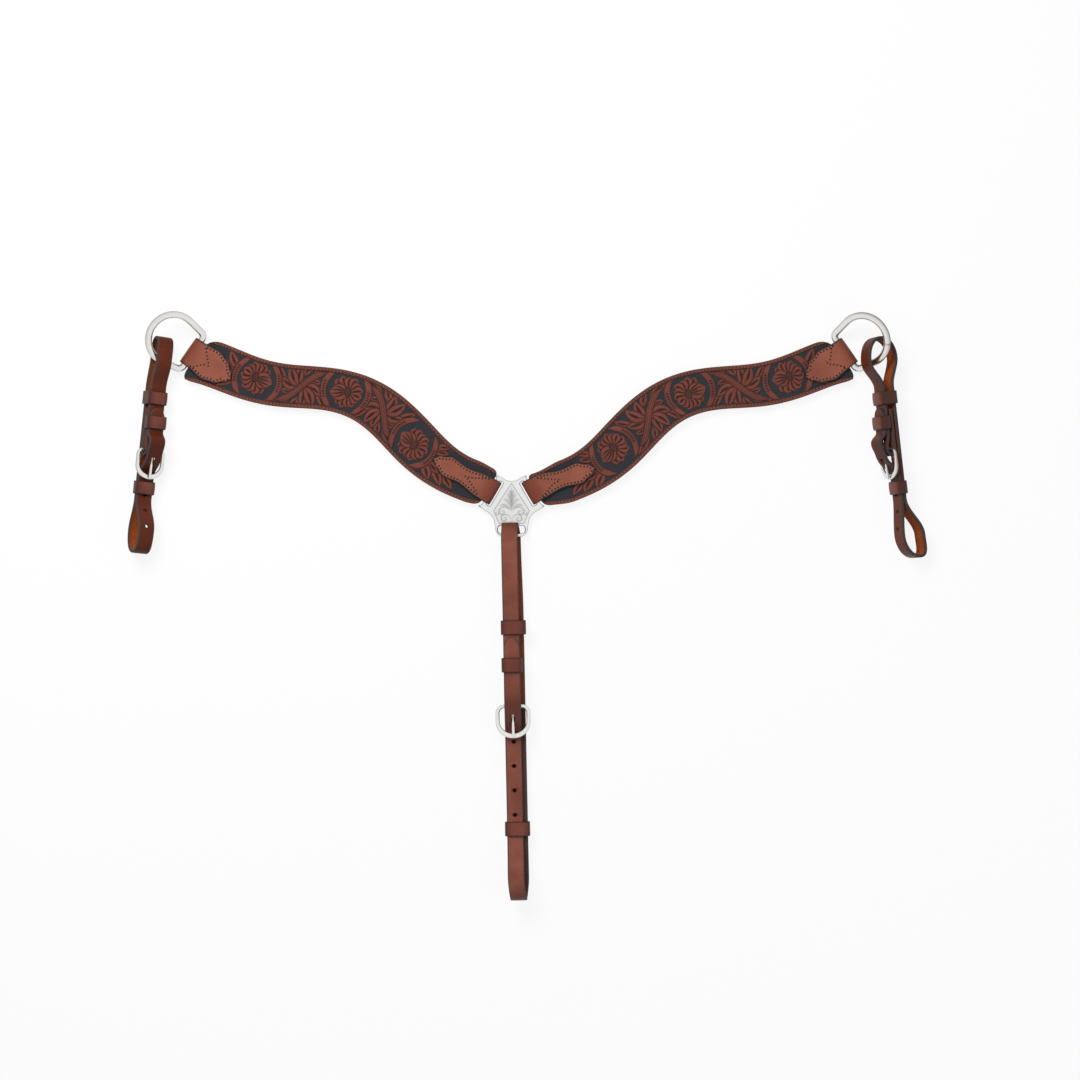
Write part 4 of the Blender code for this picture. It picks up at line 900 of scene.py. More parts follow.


# STITCHES: thread, and dark blobs of painted shade for the awl holes, set along lines by Geometry Nodes
stitchSettings = {
    "border": {"Thread Width": 0.0007, "Thread Height": 0.0007, "Thread Length": 0.0015,
               "Hole Width": 0.0017},
    "tab": {"Thread Width": 0.0009, "Thread Height": 0.0009, "Thread Length": 0.0016,
            "Hole Width": 0.0023},
    "holeDepth": 0.35, "borderSink": 0.00030, "borderEnd": 0.88, "borderGap": 0.004,
    "tabLift": 0.00015, "tabEnd": 1.3, "tabLeast": 0.0012, "tabTip": 0.0009, "tabVee": 0.80,
}


def stitchTree():
    tree = bpy.data.node_groups.new("stitchRow", "GeometryNodeTree")
    face = tree.interface
    face.new_socket("Geometry", in_out="INPUT", socket_type="NodeSocketGeometry")
    for label in ("Pitch", "Thread Width", "Thread Height", "Thread Length", "Hole Width"):
        face.new_socket(label, in_out="INPUT", socket_type="NodeSocketFloat")
    face.new_socket("Geometry", in_out="OUTPUT", socket_type="NodeSocketGeometry")
    link = tree.links.new
    given = addNode(tree, "NodeGroupInput").outputs
    line = addNode(tree, "GeometryNodeMeshToCurve")
    level = addNode(tree, "GeometryNodeSetCurveNormal", mode="Z_UP")
    spots = addNode(tree, "GeometryNodeCurveToPoints", mode="LENGTH")
    link(given["Geometry"], line.inputs["Mesh"])
    link(line.outputs["Curve"], level.inputs["Curve"])
    link(level.outputs["Curve"], spots.inputs["Curve"])
    link(given["Pitch"], spots.inputs["Length"])
    join = addNode(tree, "GeometryNodeJoinGeometry")
    # a dark blob of painted shade stands for the hole, half a stitch after each thread
    halfPitch = mathNode(tree, "MULTIPLY", given["Pitch"], 0.5)
    holeDepth = mathNode(tree, "MULTIPLY", given["Hole Width"], stitchSettings["holeDepth"])
    threadSize = (given["Thread Width"], given["Thread Height"], given["Thread Length"])
    holeSize = (given["Hole Width"], holeDepth, given["Hole Width"])
    for paint, measures, ahead, segments, rings in (("thread", threadSize, 0.0, 8, 5),
                                                    ("awlHoleShade", holeSize, halfPitch, 6, 4)):
        ball = addNode(tree, "GeometryNodeMeshUVSphere",
                       {"Segments": segments, "Rings": rings, "Radius": 0.5})
        size = addNode(tree, "ShaderNodeCombineXYZ")
        for axis, measure in zip("XYZ", measures):
            link(measure, size.inputs[axis])
        move = addNode(tree, "ShaderNodeCombineXYZ")
        feed(tree, ahead, move.inputs["Z"])
        shaped = addNode(tree, "GeometryNodeTransform")
        link(ball.outputs["Mesh"], shaped.inputs["Geometry"])
        link(move.outputs["Vector"], shaped.inputs["Translation"])
        link(size.outputs["Vector"], shaped.inputs["Scale"])
        laid = addNode(tree, "GeometryNodeInstanceOnPoints")
        link(spots.outputs["Points"], laid.inputs["Points"])
        link(spots.outputs["Rotation"], laid.inputs["Rotation"])
        link(shaped.outputs["Geometry"], laid.inputs["Instance"])
        real = addNode(tree, "GeometryNodeRealizeInstances")
        link(laid.outputs["Instances"], real.inputs["Geometry"])
        painted = addNode(tree, "GeometryNodeSetMaterial", {"Material": finishes[paint]})
        link(real.outputs["Geometry"], painted.inputs["Geometry"])
        link(painted.outputs["Geometry"], join.inputs["Geometry"])
    link(join.outputs["Geometry"], addNode(tree, "NodeGroupOutput").inputs["Geometry"])
    return tree


def socketNamed(tree, label):
    for item in tree.interface.items_tree:
        if item.item_type == "SOCKET" and item.in_out == "INPUT" and item.name == label:
            return item.identifier


# result of an object's modifiers as a plain mesh on a new object
def freeze(rough, name):
    shown = bpy.context.evaluated_depsgraph_get()
    mesh = bpy.data.meshes.new_from_object(rough.evaluated_get(shown))
    mesh.name = name
    bpy.data.objects.remove(rough, do_unlink=True)
    return linkNew(name, mesh)


stitching = stitchTree()


def stitchRows(name, lines, pitch, sizes):
    points, edges = [], []
    for line in lines:
        start = len(points)
        points += [tuple(point) for point in line]
        edges += [(start + i, start + i + 1) for i in range(len(line) - 1)]
    mesh = bpy.data.meshes.new(name)
    mesh.from_pydata(points, edges, [])
    rough = linkNew(name + "_line", mesh)
    row = rough.modifiers.new("stitches", "NODES")
    row.node_group = stitching
    row[socketNamed(stitching, "Pitch")] = pitch
    for label, value in sizes.items():
        row[socketNamed(stitching, label)] = value
    return freeze(rough, name)


def borderLines(side):
    want = stitchSettings
    top = frontBase + panelSettings["front"] - want["borderSink"] + plateCentre.z
    along, line, normal, half = panelLine(side)
    lines = []
    for way in (-1.0, 1.0):
        first, last = panelEnds(side, way * want["borderEnd"])
        spots = line + normal * way * (half - carvingSettings["stitchInset"] * mm)[:, None]
        spots = spots[(along > first + want["borderGap"]) & (along < last - want["borderGap"])]
        lines.append(np.stack([sides[side] * spots[:, 0] + plateCentre.x, spots[:, 1] + plateCentre.y,
                               np.full(len(spots), top)], axis=1))
    return lines


# a row round the leaf, and a notched one across its neck
def tabLines(side, kind):
    want, row = tabSettings[kind], stitchSettings
    inset = tabSettings["stitchInset"]
    span = np.linspace(want["veeStart"], want["length"] - row["tabEnd"] * inset, 90)
    half = tabHalf(kind, span)
    reach = half - inset * np.sqrt(1.0 + np.gradient(half, span) ** 2)
    wide = reach > row["tabLeast"]
    span, reach = span[wide], reach[wide]
    steps = np.linspace(-1.0, 1.0, 61)
    vee = want["veeEnd"] - (want["veeEnd"] - want["veeStart"]) * np.abs(steps) ** row["tabVee"]
    rim = np.concatenate([span, [span[-1] + row["tabTip"]], span[::-1]])
    rimReach = np.concatenate([-reach, [0.0], reach[::-1]])
    lines = []
    for along, aside in ((rim, rimReach), (vee, steps * reach[0])):
        offset, slope = tabLean(side, kind, along)
        square = np.sqrt(1.0 + slope ** 2)
        level = tabLevel(kind, along) + tabSettings["thickness"] / 2.0 + row["tabLift"]
        spots = np.stack([along - aside * slope / square, level, offset + aside / square], axis=1)
        lines.append(place(spots, tabMatrix(side, kind)))
    return lines


for side in sides:
    border = stitchRows(side + "_border_stitches", borderLines(side), carvingSettings["stitchPitch"] * mm,
                        stitchSettings["border"])
    settle(border, side + "_panel", "tooled_leather")
    sewn = stitchRows(side + "_tab_stitches", tabLines(side, "plate") + tabLines(side, "ring"),
                      tabSettings["stitchPitch"], stitchSettings["tab"])
    settle(sewn, side + "_panel", "tab_leather")
print("stitches sewn")


# CENTRE PLATE: polished silver with three slots and a kite of engraved plumes and scrolls
# what is engraved is given in millimetres
plateSettings = {
    "thickness": 0.0035, "bevel": 0.0012, "slot": (0.0312, 0.0052), "slotRound": 0.0016,
    "bottomBar": -0.0313, "bottomSlot": (0.0310, 0.0088), "bottomRound": 0.0036, "strapBar": 0.0042,
    "weld": 0.000005, "greyRim": (0.0001, 0.0006), "fieldRise": 0.00005, "fieldDepth": 0.0004,
    "kite": ((-18.4, 14.6), (-3.4, 21.4), (10.0, 13.0), (29.0, 0.5)),
    "engraveDepth": 0.015, "rimDrop": 0.03, "rimLineAt": 0.8, "rimLine": 0.42, "fieldGrey": 0.06,
    "grooveGrey": 0.58, "stroke": 0.34, "thinStroke": 0.26,
    "quill": ((0.0, -4.0), (0.5, 12.0), (0.0, 24.5)),
    # plumes: root, knee and tip
    "plumes": (((0.3, 3.0), (1.2, 17.0), (5.6, 16.2)), ((0.4, 0.0), (3.2, 12.5), (9.2, 9.6)),
               ((0.6, -2.0), (7.4, 7.0), (13.6, 2.6)), ((0.2, 10.0), (0.4, 20.0), (2.6, 20.6))),
    # scrolls: start, centre, radius, turns, the way they wind and their width
    "scrolls": (((1.0, -5.0), (10.4, -4.6), 4.4, 1.55, -1.0, 0.34),
                ((0.8, -16.8), (8.2, -12.4), 4.6, 1.55, -1.0, 0.34),
                ((17.0, -1.6), (17.0, -6.0), 2.4, 1.25, 1.0, 0.28)),
}


def arcPoints(centre, radius, start, end, count):
    turns = np.radians(np.linspace(start, end, count))
    return [(centre[0] + radius * math.cos(turn), centre[1] + radius * math.sin(turn)) for turn in turns]


def roundBox(width, height, radius, steps):
    x, y = width / 2.0 - radius, height / 2.0 - radius
    points = []
    for centre, start in (((x, y), 0.0), ((-x, y), 90.0), ((-x, -y), 180.0), ((x, -y), 270.0)):
        points += arcPoints(centre, radius, start, start + 90.0, steps)
    return points


def turned(points, way):
    out = heading(panelSettings["barTurn"])
    along = np.array([out[1], -out[0]])
    centre = panelSettings["barCentre"]
    return [(way * (centre[0] + along[0] * x + out[0] * y), centre[1] + along[1] * x + out[1] * y)
            for x, y in points]


# corners of a closed outline cut back twice, so that it runs smoothly
def smoothOutline(points):
    points = np.asarray(points, float)
    for _ in range(2):
        after = np.roll(points, -1, axis=0)
        cuts = [0.80 * points + 0.20 * after, 0.20 * points + 0.80 * after]
        points = np.stack(cuts, axis=1).reshape(-1, 2)
    return points


def buildPlate():
    want = plateSettings
    half = want["slot"][0] / 2.0
    horn = half + 0.0042
    bar = panelSettings["barWidth"] / 2.0
    horns = turned([(-horn - 0.0006, -bar - 0.0005), (-horn + 0.0002, bar + 0.0030), (-half - 0.0006, bar),
                    (half, bar), (horn - 0.0010, bar + 0.0004), (horn + 0.0024, bar + 0.0034),
                    (horn + 0.0026, -bar + 0.0004)], 1.0)
    low = want["bottomBar"] - want["strapBar"] / 2.0
    flank = want["bottomSlot"][0] / 2.0 + 0.0030
    top = panelSettings["barCentre"][1] + 0.0122
    rim = [(0.0, top), (0.0060, top + 0.0006)] + horns
    rim += [(flank + 0.0072, -0.0058), (flank + 0.0030, -0.0105), (flank + 0.0012, -0.0160),
            (flank + 0.0004, -0.0220), (flank - 0.0002, -0.0270), (flank - 0.0028, low + 0.0022),
            (flank - 0.0070, low + 0.0003), (0.0, low)]
    rim += [(-x, y) for x, y in reversed(rim[1:-1])]
    slotBox = roundBox(*want["slot"], want["slotRound"], 8)
    slot = [(x, y - bar - want["slot"][1] / 2.0) for x, y in slotBox]
    bottom = want["bottomBar"] + want["strapBar"] / 2.0 + want["bottomSlot"][1] / 2.0
    loops = [smoothOutline(rim)] + [turned(slot, way) for way in sides.values()]
    bottomBox = roundBox(*want["bottomSlot"], want["bottomRound"], 10)
    loops.append([(x, y + bottom) for x, y in bottomBox])
    curve = bpy.data.curves.new("center_plate_outline", "CURVE")
    curve.dimensions = "2D"
    curve.fill_mode = "BOTH"
    curve.extrude = want["thickness"] / 2.0 - want["bevel"]
    curve.bevel_depth = want["bevel"]
    curve.bevel_resolution = 3
    curve.offset = -want["bevel"]
    for loop in loops:
        spline = curve.splines.new("POLY")
        spline.points.add(len(loop) - 1)
        for point, spot in zip(spline.points, loop):
            point.co = (spot[0], spot[1], 0.0, 1.0)
        spline.use_cyclic_u = True
    plate = freeze(linkNew("center_plate_outline", curve), "polished_plate")
    plate.data.transform(Matrix.Translation(plateCentre))
    turnOutward(plate.data, want["weld"])
    plate.data.materials.clear()
    plate.data.materials.append(finishes["silver"])
    for face in plate.data.polygons:
        face.use_smooth = abs(face.normal.z) < 0.999
    # painted shade: its bevelled rim is greyer than its face
    low = [plateCentre.z + want["thickness"] / 2.0 - vertex.co.z for vertex in plate.data.vertices]
    rim = plate.data.attributes.new("engravingAndShade", "FLOAT", "POINT")
    rim.data.foreach_set("value", ease(np.array(low), *want["greyRim"]))
    settle(plate, "plate", "engraved_silver", "center_plate")


# an engraved scroll: a stem that winds into a small volute
def scroll(start, centre, radius, turns, way):
    start, centre = np.array(start, float), np.array(centre, float)
    angle = math.atan2(start[1] - centre[1], start[0] - centre[0])
    reach = np.linalg.norm(start - centre)
    share = np.linspace(0.0, 1.0, 90)
    wound = angle + way * turns * 2.0 * math.pi * share
    span = radius * (1.0 - 0.82 * share) + (reach - radius) * (1.0 - share) ** 6
    return np.stack([centre[0] + span * np.cos(wound), centre[1] + span * np.sin(wound)], axis=1)


def buildEngraving():
    want = plateSettings
    levels = np.linspace(want["kite"][0][0], want["kite"][-1][0], 200)
    half = np.interp(levels, [row[0] for row in want["kite"]], [row[1] for row in want["kite"]])
    shares = np.linspace(-1.0, 1.0, 150)
    x = half[:, None] * shares[None, :]
    y = np.repeat(levels[:, None], len(shares), axis=1)
    strokes = [(bend(want["quill"], 50), want["stroke"])]
    for root, knee, tip in want["plumes"]:
        below = (knee[0] + 1.6, knee[1] - 3.4)
        strokes.append((bend((root, knee, tip), 50), want["stroke"]))
        strokes.append((bend((root, below, tip), 50), want["thinStroke"]))
    strokes += [(scroll(*shape), width) for *shape, width in want["scrolls"]]
    engraved = np.zeros_like(x)
    relief = np.zeros_like(x)
    for line, width in strokes:
        apart, share = nearSpine(np.abs(x), y, line)
        thick = width * (0.45 + 0.75 * np.sin(math.pi * share ** 0.6))
        engraved = np.maximum(engraved, ease(thick - apart, -0.16, 0.18))
        shade = np.exp(-((apart - 0.9) / 0.7) ** 2)
        relief = np.maximum(relief, 0.30 * shade * np.sin(math.pi * share))
    slope = np.abs(np.gradient(half, levels))[:, None]
    fromRim = (half[:, None] - np.abs(x)) / np.sqrt(1.0 + slope ** 2)
    fromRim = np.minimum(fromRim, np.minimum(y - levels[0], levels[-1] - y))
    outline = np.exp(-((fromRim - want["rimLineAt"]) / want["rimLine"]) ** 2)
    engraved = np.maximum(engraved, outline)
    groove = np.clip(engraved + relief * (fromRim > 1.5), 0.0, 1.0)
    drop = ease(0.35 - fromRim, 0.0, 0.35)
    front = want["thickness"] / 2.0
    z = front + want["fieldRise"] - (groove * want["engraveDepth"] + drop * want["rimDrop"]) * mm
    points, faces = sheetSkin(x * mm + plateCentre.x, y * mm + plateCentre.y, z + plateCentre.z,
                              front - want["fieldDepth"] + plateCentre.z)
    grey = np.zeros(len(points))
    grey[:x.size] = want["fieldGrey"] + want["grooveGrey"] * groove.ravel()
    field = makePiece("engraved_field", points, faces, "silver", {"engravingAndShade": grey})
    settle(field, "plate", "engraved_silver")


buildPlate()
buildEngraving()
print("plate polished and engraved")


# D-RINGS: bent round stock, closed by a brazed seam
ringSettings = {
    "stock": 0.0080, "radius": 0.0285, "rise": 0.0290, "bar": 0.0480, "corner": 0.0062,
    "tilt": {"left": 28.0, "right": 35.0}, "seam": 0.30, "seamLength": 0.0050, "bead": 0.035,
    "beadLimit": 1.03, "groove": 0.05, "grooveSharp": 5.0, "grooveGrey": 0.5,
    # grey and greyFall set the painted shade down the ring's sides, darker on the right ring
    "grey": {"left": 0.60, "right": 0.95}, "greyFall": 1.1,
}


def ringPath():
    want = ringSettings
    half = want["bar"] / 2.0
    toCorner = 90.0 + math.degrees(math.atan2(want["rise"], half))
    reach = toCorner - math.degrees(math.acos(want["radius"] / math.hypot(half, want["rise"])))
    arc = arcPoints((0.0, want["rise"]), want["radius"], 90.0 - reach, 90.0 + reach, 90)
    outline = [np.array((half, 0.0))] + [np.array(point) for point in arc] + [np.array((-half, 0.0))]
    path = []
    for i, here in enumerate(outline):
        if 0 < i < len(outline) - 1:
            path.append(here)
            continue
        before, after = outline[i - 1] - here, outline[(i + 1) % len(outline)] - here
        a = here + before / np.linalg.norm(before) * min(want["corner"], 0.8 * np.linalg.norm(before))
        b = here + after / np.linalg.norm(after) * min(want["corner"], 0.8 * np.linalg.norm(after))
        for t in np.linspace(0.0, 1.0, 9):
            path.append(a * (1 - t) ** 2 + here * 2 * t * (1 - t) + b * t ** 2)
    path = np.array(path + [path[0]])
    total = lengthsOf(path)[-1]
    return takeAlong(path, np.linspace(0.0, total, 181)[:-1]), total


def ringMatrix(side):
    axis = jointAxis(side + "_ring_hinge")
    tilt = math.radians(ringSettings["tilt"][side])
    outward = Vector((-axis.y * math.cos(tilt), axis.x * math.cos(tilt), math.sin(tilt)))
    return axesMatrix(jointPlace(side + "_ring_hinge"), axis, outward)


# painted shade: bright along the top of round stock, greyer down its sides
def paintedSideShade(turns, grey, fall):
    return grey * (1.0 - np.clip(np.sin(turns), 0.0, 1.0)) ** fall


def buildRing(side):
    want = ringSettings
    path, total = ringPath()
    share = np.arange(len(path)) / len(path)
    seamAt = 1.0 - want["seam"] if side == "left" else want["seam"]
    off = (share - seamAt) * total / want["seamLength"]
    groove = np.exp(-(off * want["grooveSharp"]) ** 2)
    swell = 1.0 + want["bead"] * np.exp(-off ** 2) - want["groove"] * groove
    radius = want["stock"] / 2.0 * np.minimum(swell, want["beadLimit"])[:, None]
    turns = roundTurns(20)
    rings = sweep(path, outwardOf(path), radius * np.cos(turns), radius * np.sin(turns))
    points, faces = skin(rings, True)
    # the seam is dark, and the stock's sides are greyed with painted shade
    dark = want["grooveGrey"] * groove[:, None] + paintedSideShade(turns, want["grey"][side], want["greyFall"])
    ring = makePiece(side + "_bent_ring", place(points, ringMatrix(side)), faces, "steel",
                     {"engravingAndShade": np.clip(dark, 0.0, 1.0).ravel()})
    settle(ring, side + "_ring", "ring_steel", side + "_d_ring")


for side in sides:
    buildRing(side)
print("rings bent")


# STRAPS: one length of leather each, folded on its buckle, looped over its ring or bar,
# and buckled to itself
strapStock = {
    "width": 0.0190, "thickness": 0.0036, "layerGap": 0.0004, "gap": 0.0003, "corner": 0.0010,
    "crown": 0.00012, "inkedAndShaded": 0.95, "tip": 0.0130, "hole": 0.0044, "buckledHole": 0.0124,
    "tongueSlot": 0.0056, "loopRise": 0.0260, "bulge": 0.0045, "keeper": 0.0020, "keeperRoom": 0.0004,
    "heelBar": 0.0042, "buckleStock": 0.0052, "buckleThickness": 0.0034, "tongue": 0.0028,
    "screwSetback": 0.0108, "screwHead": 0.0080, "screwHeadThickness": 0.0014, "screwBarrel": 0.0050,
    "step": 0.0013, "tugBack": -0.0125, "foldRoom": 0.0011, "barRoom": 0.0007, "keeperClear": 0.0055,
    "keeperSnug": 0.0030, "slotAhead": 0.0022, "slotRoom": 0.0055, "screwMiddle": 0.0035,
    "screwPlug": 0.0160, "holePlug": 1.7,
    # painted shade at the buckle: how dark, how far past the heel, how widely, and on what length of the
    # end; then how dark the painted shade on the hidden back leg is
    "liftShade": (0.95, 0.004, 0.030, 0.16), "hiddenShade": 0.85,
}
tugLay = {
    "upper": 0.0430, "middle": 0.0710, "lower": 0.1465, "keeperWidth": 0.0150, "heel": 0.1030,
    "reach": 0.0305, "buckleWidth": 0.0350, "turnEnd": 0.0560, "tipEnd": 0.0540, "holePitch": 0.0200,
    "holes": 4, "shift": 0.0,
}
strapSettings = {
    "left_tug": dict(tugLay, bottom=0.2200, loopFront=0.0074, loopBack=0.0078, lowShift=0.0040),
    "right_tug": dict(tugLay, bottom=0.2270, loopFront=0.0134, loopBack=0.0215, lowShift=-0.0160),
    "center_strap": {
        "upper": 0.1060, "middle": 0.1490, "lower": 0.3370, "keeperWidth": 0.0165, "heel": 0.1960,
        "reach": 0.0340, "buckleWidth": 0.0400, "bottom": 0.4160, "turnEnd": 0.1230, "tipEnd": 0.1180,
        "holePitch": 0.0280, "holes": 4, "shift": 0.0050},
}
layer = strapStock["thickness"] + strapStock["layerGap"]
turnLevel = strapStock["thickness"] + strapStock["screwHeadThickness"] + 3.6 * strapStock["gap"]
frontLevel = turnLevel + strapStock["thickness"] + 2.0 * strapStock["keeperRoom"] + strapStock["keeper"]
tipLevel = frontLevel + layer
foldRadius = strapStock["heelBar"] / 2.0 + strapStock["thickness"] / 2.0 + strapStock["foldRoom"]
heelLevel = turnLevel + foldRadius
overLevel = heelLevel + foldRadius + layer
eyeRadius = (math.hypot(strapStock["heelBar"], strapStock["buckleThickness"]) / 2.0 + strapStock["gap"]
             + strapStock["tongue"] / 2.0)


def strapMatrix(name):
    along = Vector(joints[name + "_keeper_upper_slide"]["axis"])
    across = jointAxis(name + "_buckle_hinge")
    return axesMatrix(jointPlace(name + "_hinge"), along, across.cross(along))


# axes of a piece on a strap, moved along, out and across from the strap's own
def onStrap(name, along, out, across):
    return strapMatrix(name) @ Matrix.Translation((along, out, across))


def backLevel(name):
    if name == "center_strap":
        return -(math.hypot(plateSettings["strapBar"], plateSettings["thickness"]) / 2.0
                 + strapStock["thickness"] / 2.0 + strapStock["barRoom"])
    return strapStock["tugBack"]


# stations along the strap: along, out, across and heading
def strapStations(name):
    lay = strapSettings[name]
    base = backLevel(name)
    shift = lay["shift"] / 2.0
    clear = lay["keeperWidth"] / 2.0 + strapStock["keeperClear"]
    snug = lay["keeperWidth"] / 2.0 + strapStock["keeperSnug"]
    heel, low = lay["heel"], lay["bottom"]
    toe = heel + lay["reach"]
    front, turn = base + frontLevel, base + turnLevel
    stations = [
        (lay["turnEnd"], turn, shift, 0.0), (heel, turn, shift, 0.0),
        (heel + foldRadius, base + heelLevel, shift, 90.0), (heel, turn + 2.0 * foldRadius, shift, 180.0),
        (lay["middle"] + snug, front, shift, 180.0), (lay["upper"] - clear, front, shift, 180.0)]
    if name == "center_strap":
        stations += [
            (0.010, 0.0120, shift, 182.0), (-0.0125, 0.0080, shift * 0.6, 276.0),
            (base, 0.0, 0.0, 280.0), (0.002, base, -shift * 0.4, 360.0),
            (lay["upper"] - clear, base, -shift, 360.0), (lay["lower"] + clear, base, -shift, 360.0),
            (low - 0.024, base, -shift, 360.0), (low, base + 0.0120, 0.0, 450.0),
            (low - 0.026, base + 0.0250, shift, 540.0)]
    else:
        bow = lay["lowShift"]
        stations += [
            (0.000, lay["loopFront"], shift, 180.0),
            (-strapStock["loopRise"], (lay["loopFront"] - lay["loopBack"]) / 2.0, 0.0, 270.0),
            (-0.003, -lay["loopBack"], -shift, 360.0),
            (lay["upper"] - clear, base, -shift, 360.0), (lay["lower"] + clear, base, -shift, 360.0),
            (low - 0.024, base - 0.0100 + 0.6 * bow, -shift, 360.0),
            (low, base + 0.0030 + bow, 0.0, 450.0),
            (low - 0.026, base + 0.0170 + 0.6 * bow, shift, 540.0)]
    stations += [
        (lay["lower"] + clear, base + layer, shift, 540.0), (toe + 0.0040, base + layer, shift, 540.0),
        (toe - 0.0040, base + layer + 0.0012, shift, 527.0),
        (heel + 0.55 * lay["reach"], base + heelLevel + 0.0022, shift, 494.0),
        (heel + 0.0035, base + overLevel + 0.0006, shift, 528.0),
        (heel - strapStock["screwSetback"], base + overLevel + strapStock["bulge"], shift, 552.0),
        (lay["middle"] + snug, base + tipLevel, shift, 540.0),
        (lay["tipEnd"], base + tipLevel, shift, 540.0)]
    return stations


def strapRun(name):
    stations = np.array(strapStations(name))
    t = (np.arange(24) / 24.0)[:, None]
    parts = []
    for first, last in zip(stations, stations[1:]):
        pull = np.linalg.norm(last[:2] - first[:2]) * (1.0 + 0.17 * (abs(last[3] - first[3]) / 90.0) ** 2)
        leave, arrive = np.radians(first[3]), np.radians(last[3])
        out = np.array([math.cos(leave), math.sin(leave), 0.0]) * pull
        into = np.array([math.cos(arrive), math.sin(arrive), 0.0]) * pull
        parts.append(first[:3] * (2 * t ** 3 - 3 * t ** 2 + 1) + out * (t ** 3 - 2 * t ** 2 + t)
                     + last[:3] * (3 * t ** 2 - 2 * t ** 3) + into * (t ** 3 - t ** 2))
    return np.concatenate(parts + [stations[-1:, :3]])


def tongueRise(share):
    rest = strapStock["buckleThickness"] / 2.0 + strapStock["gap"] + strapStock["tongue"] / 2.0
    return eyeRadius + (rest - eyeRadius) * min(1.0, share)


# distance along the run where the tongue comes through the buckled end
def buckledAt(name, run):
    lay = strapSettings[name]
    lengths = lengthsOf(run)
    start = lengths[-1] - (lay["heel"] + lay["reach"] + 0.045 - lay["tipEnd"])
    found = []
    for spot, length in zip(run, lengths):
        share = (spot[0] - lay["heel"]) / lay["reach"]
        if length > start and 0.1 < share < 0.95:
            found.append((abs(spot[1] - backLevel(name) - heelLevel - tongueRise(share)), length))
    return min(found)[1]


# plug that punches a hole: an upright prism on a rounded outline
def plugSkin(outline, matrix, depth):
    outline = np.array(outline)
    rings = np.zeros((2, len(outline), 3))
    for k, level in enumerate((-depth / 2.0, depth / 2.0)):
        rings[k, :, 0], rings[k, :, 2] = outline[:, 0], outline[:, 1]
        rings[k, :, 1] = level
    points, faces = skin(rings, False)
    return place(points, matrix), faces


def runMatrix(run, distance):
    spot = takeAlong(run, [distance])[0]
    ahead = takeAlong(run, [distance + 0.0005])[0] - takeAlong(run, [distance - 0.0005])[0]
    along = Vector((ahead[0], ahead[1], 0.0))
    return axesMatrix(spot, along, Vector((0.0, 0.0, 1.0)).cross(along))


def punch(strap, plugs):
    cutters = []
    for i, (points, faces) in enumerate(plugs):
        cutters.append(makePiece(strap.name + "_punch" + str(i), points, faces, "punched"))
    tree = KDTree(len(strap.data.vertices))
    for i, vertex in enumerate(strap.data.vertices):
        tree.insert(vertex.co, i)
    tree.balance()
    known = {}
    for label in ("grainSide", "edgeDyeAndShade", "paintedFoldShade"):
        values = np.zeros(len(strap.data.vertices), np.float32)
        strap.data.attributes[label].data.foreach_get("value", values)
        known[label] = values
    for cutter in cutters:
        cut = strap.modifiers.new(cutter.name, "BOOLEAN")
        cut.operation, cut.solver, cut.object = "DIFFERENCE", "EXACT", cutter
        cut.material_mode = "TRANSFER"
    name = strap.name
    strap.name = name + "_unpunched"
    punched = freeze(strap, name)
    for cutter in cutters:
        bpy.data.objects.remove(cutter, do_unlink=True)
    # the cut edges take their grain and dye from the nearest old point, and take the bent tone in full
    found = [tree.find(vertex.co) for vertex in punched.data.vertices]
    near = [spot[1] for spot in found]
    fresh = np.array([spot[2] for spot in found]) > 0.00002
    for label, values in known.items():
        kept = punched.data.attributes.get(label) or punched.data.attributes.new(label, "FLOAT", "POINT")
        taken = values[near]
        if label == "paintedFoldShade":
            taken = np.where(fresh, 1.0, taken)
        kept.data.foreach_set("value", taken)
    return punched


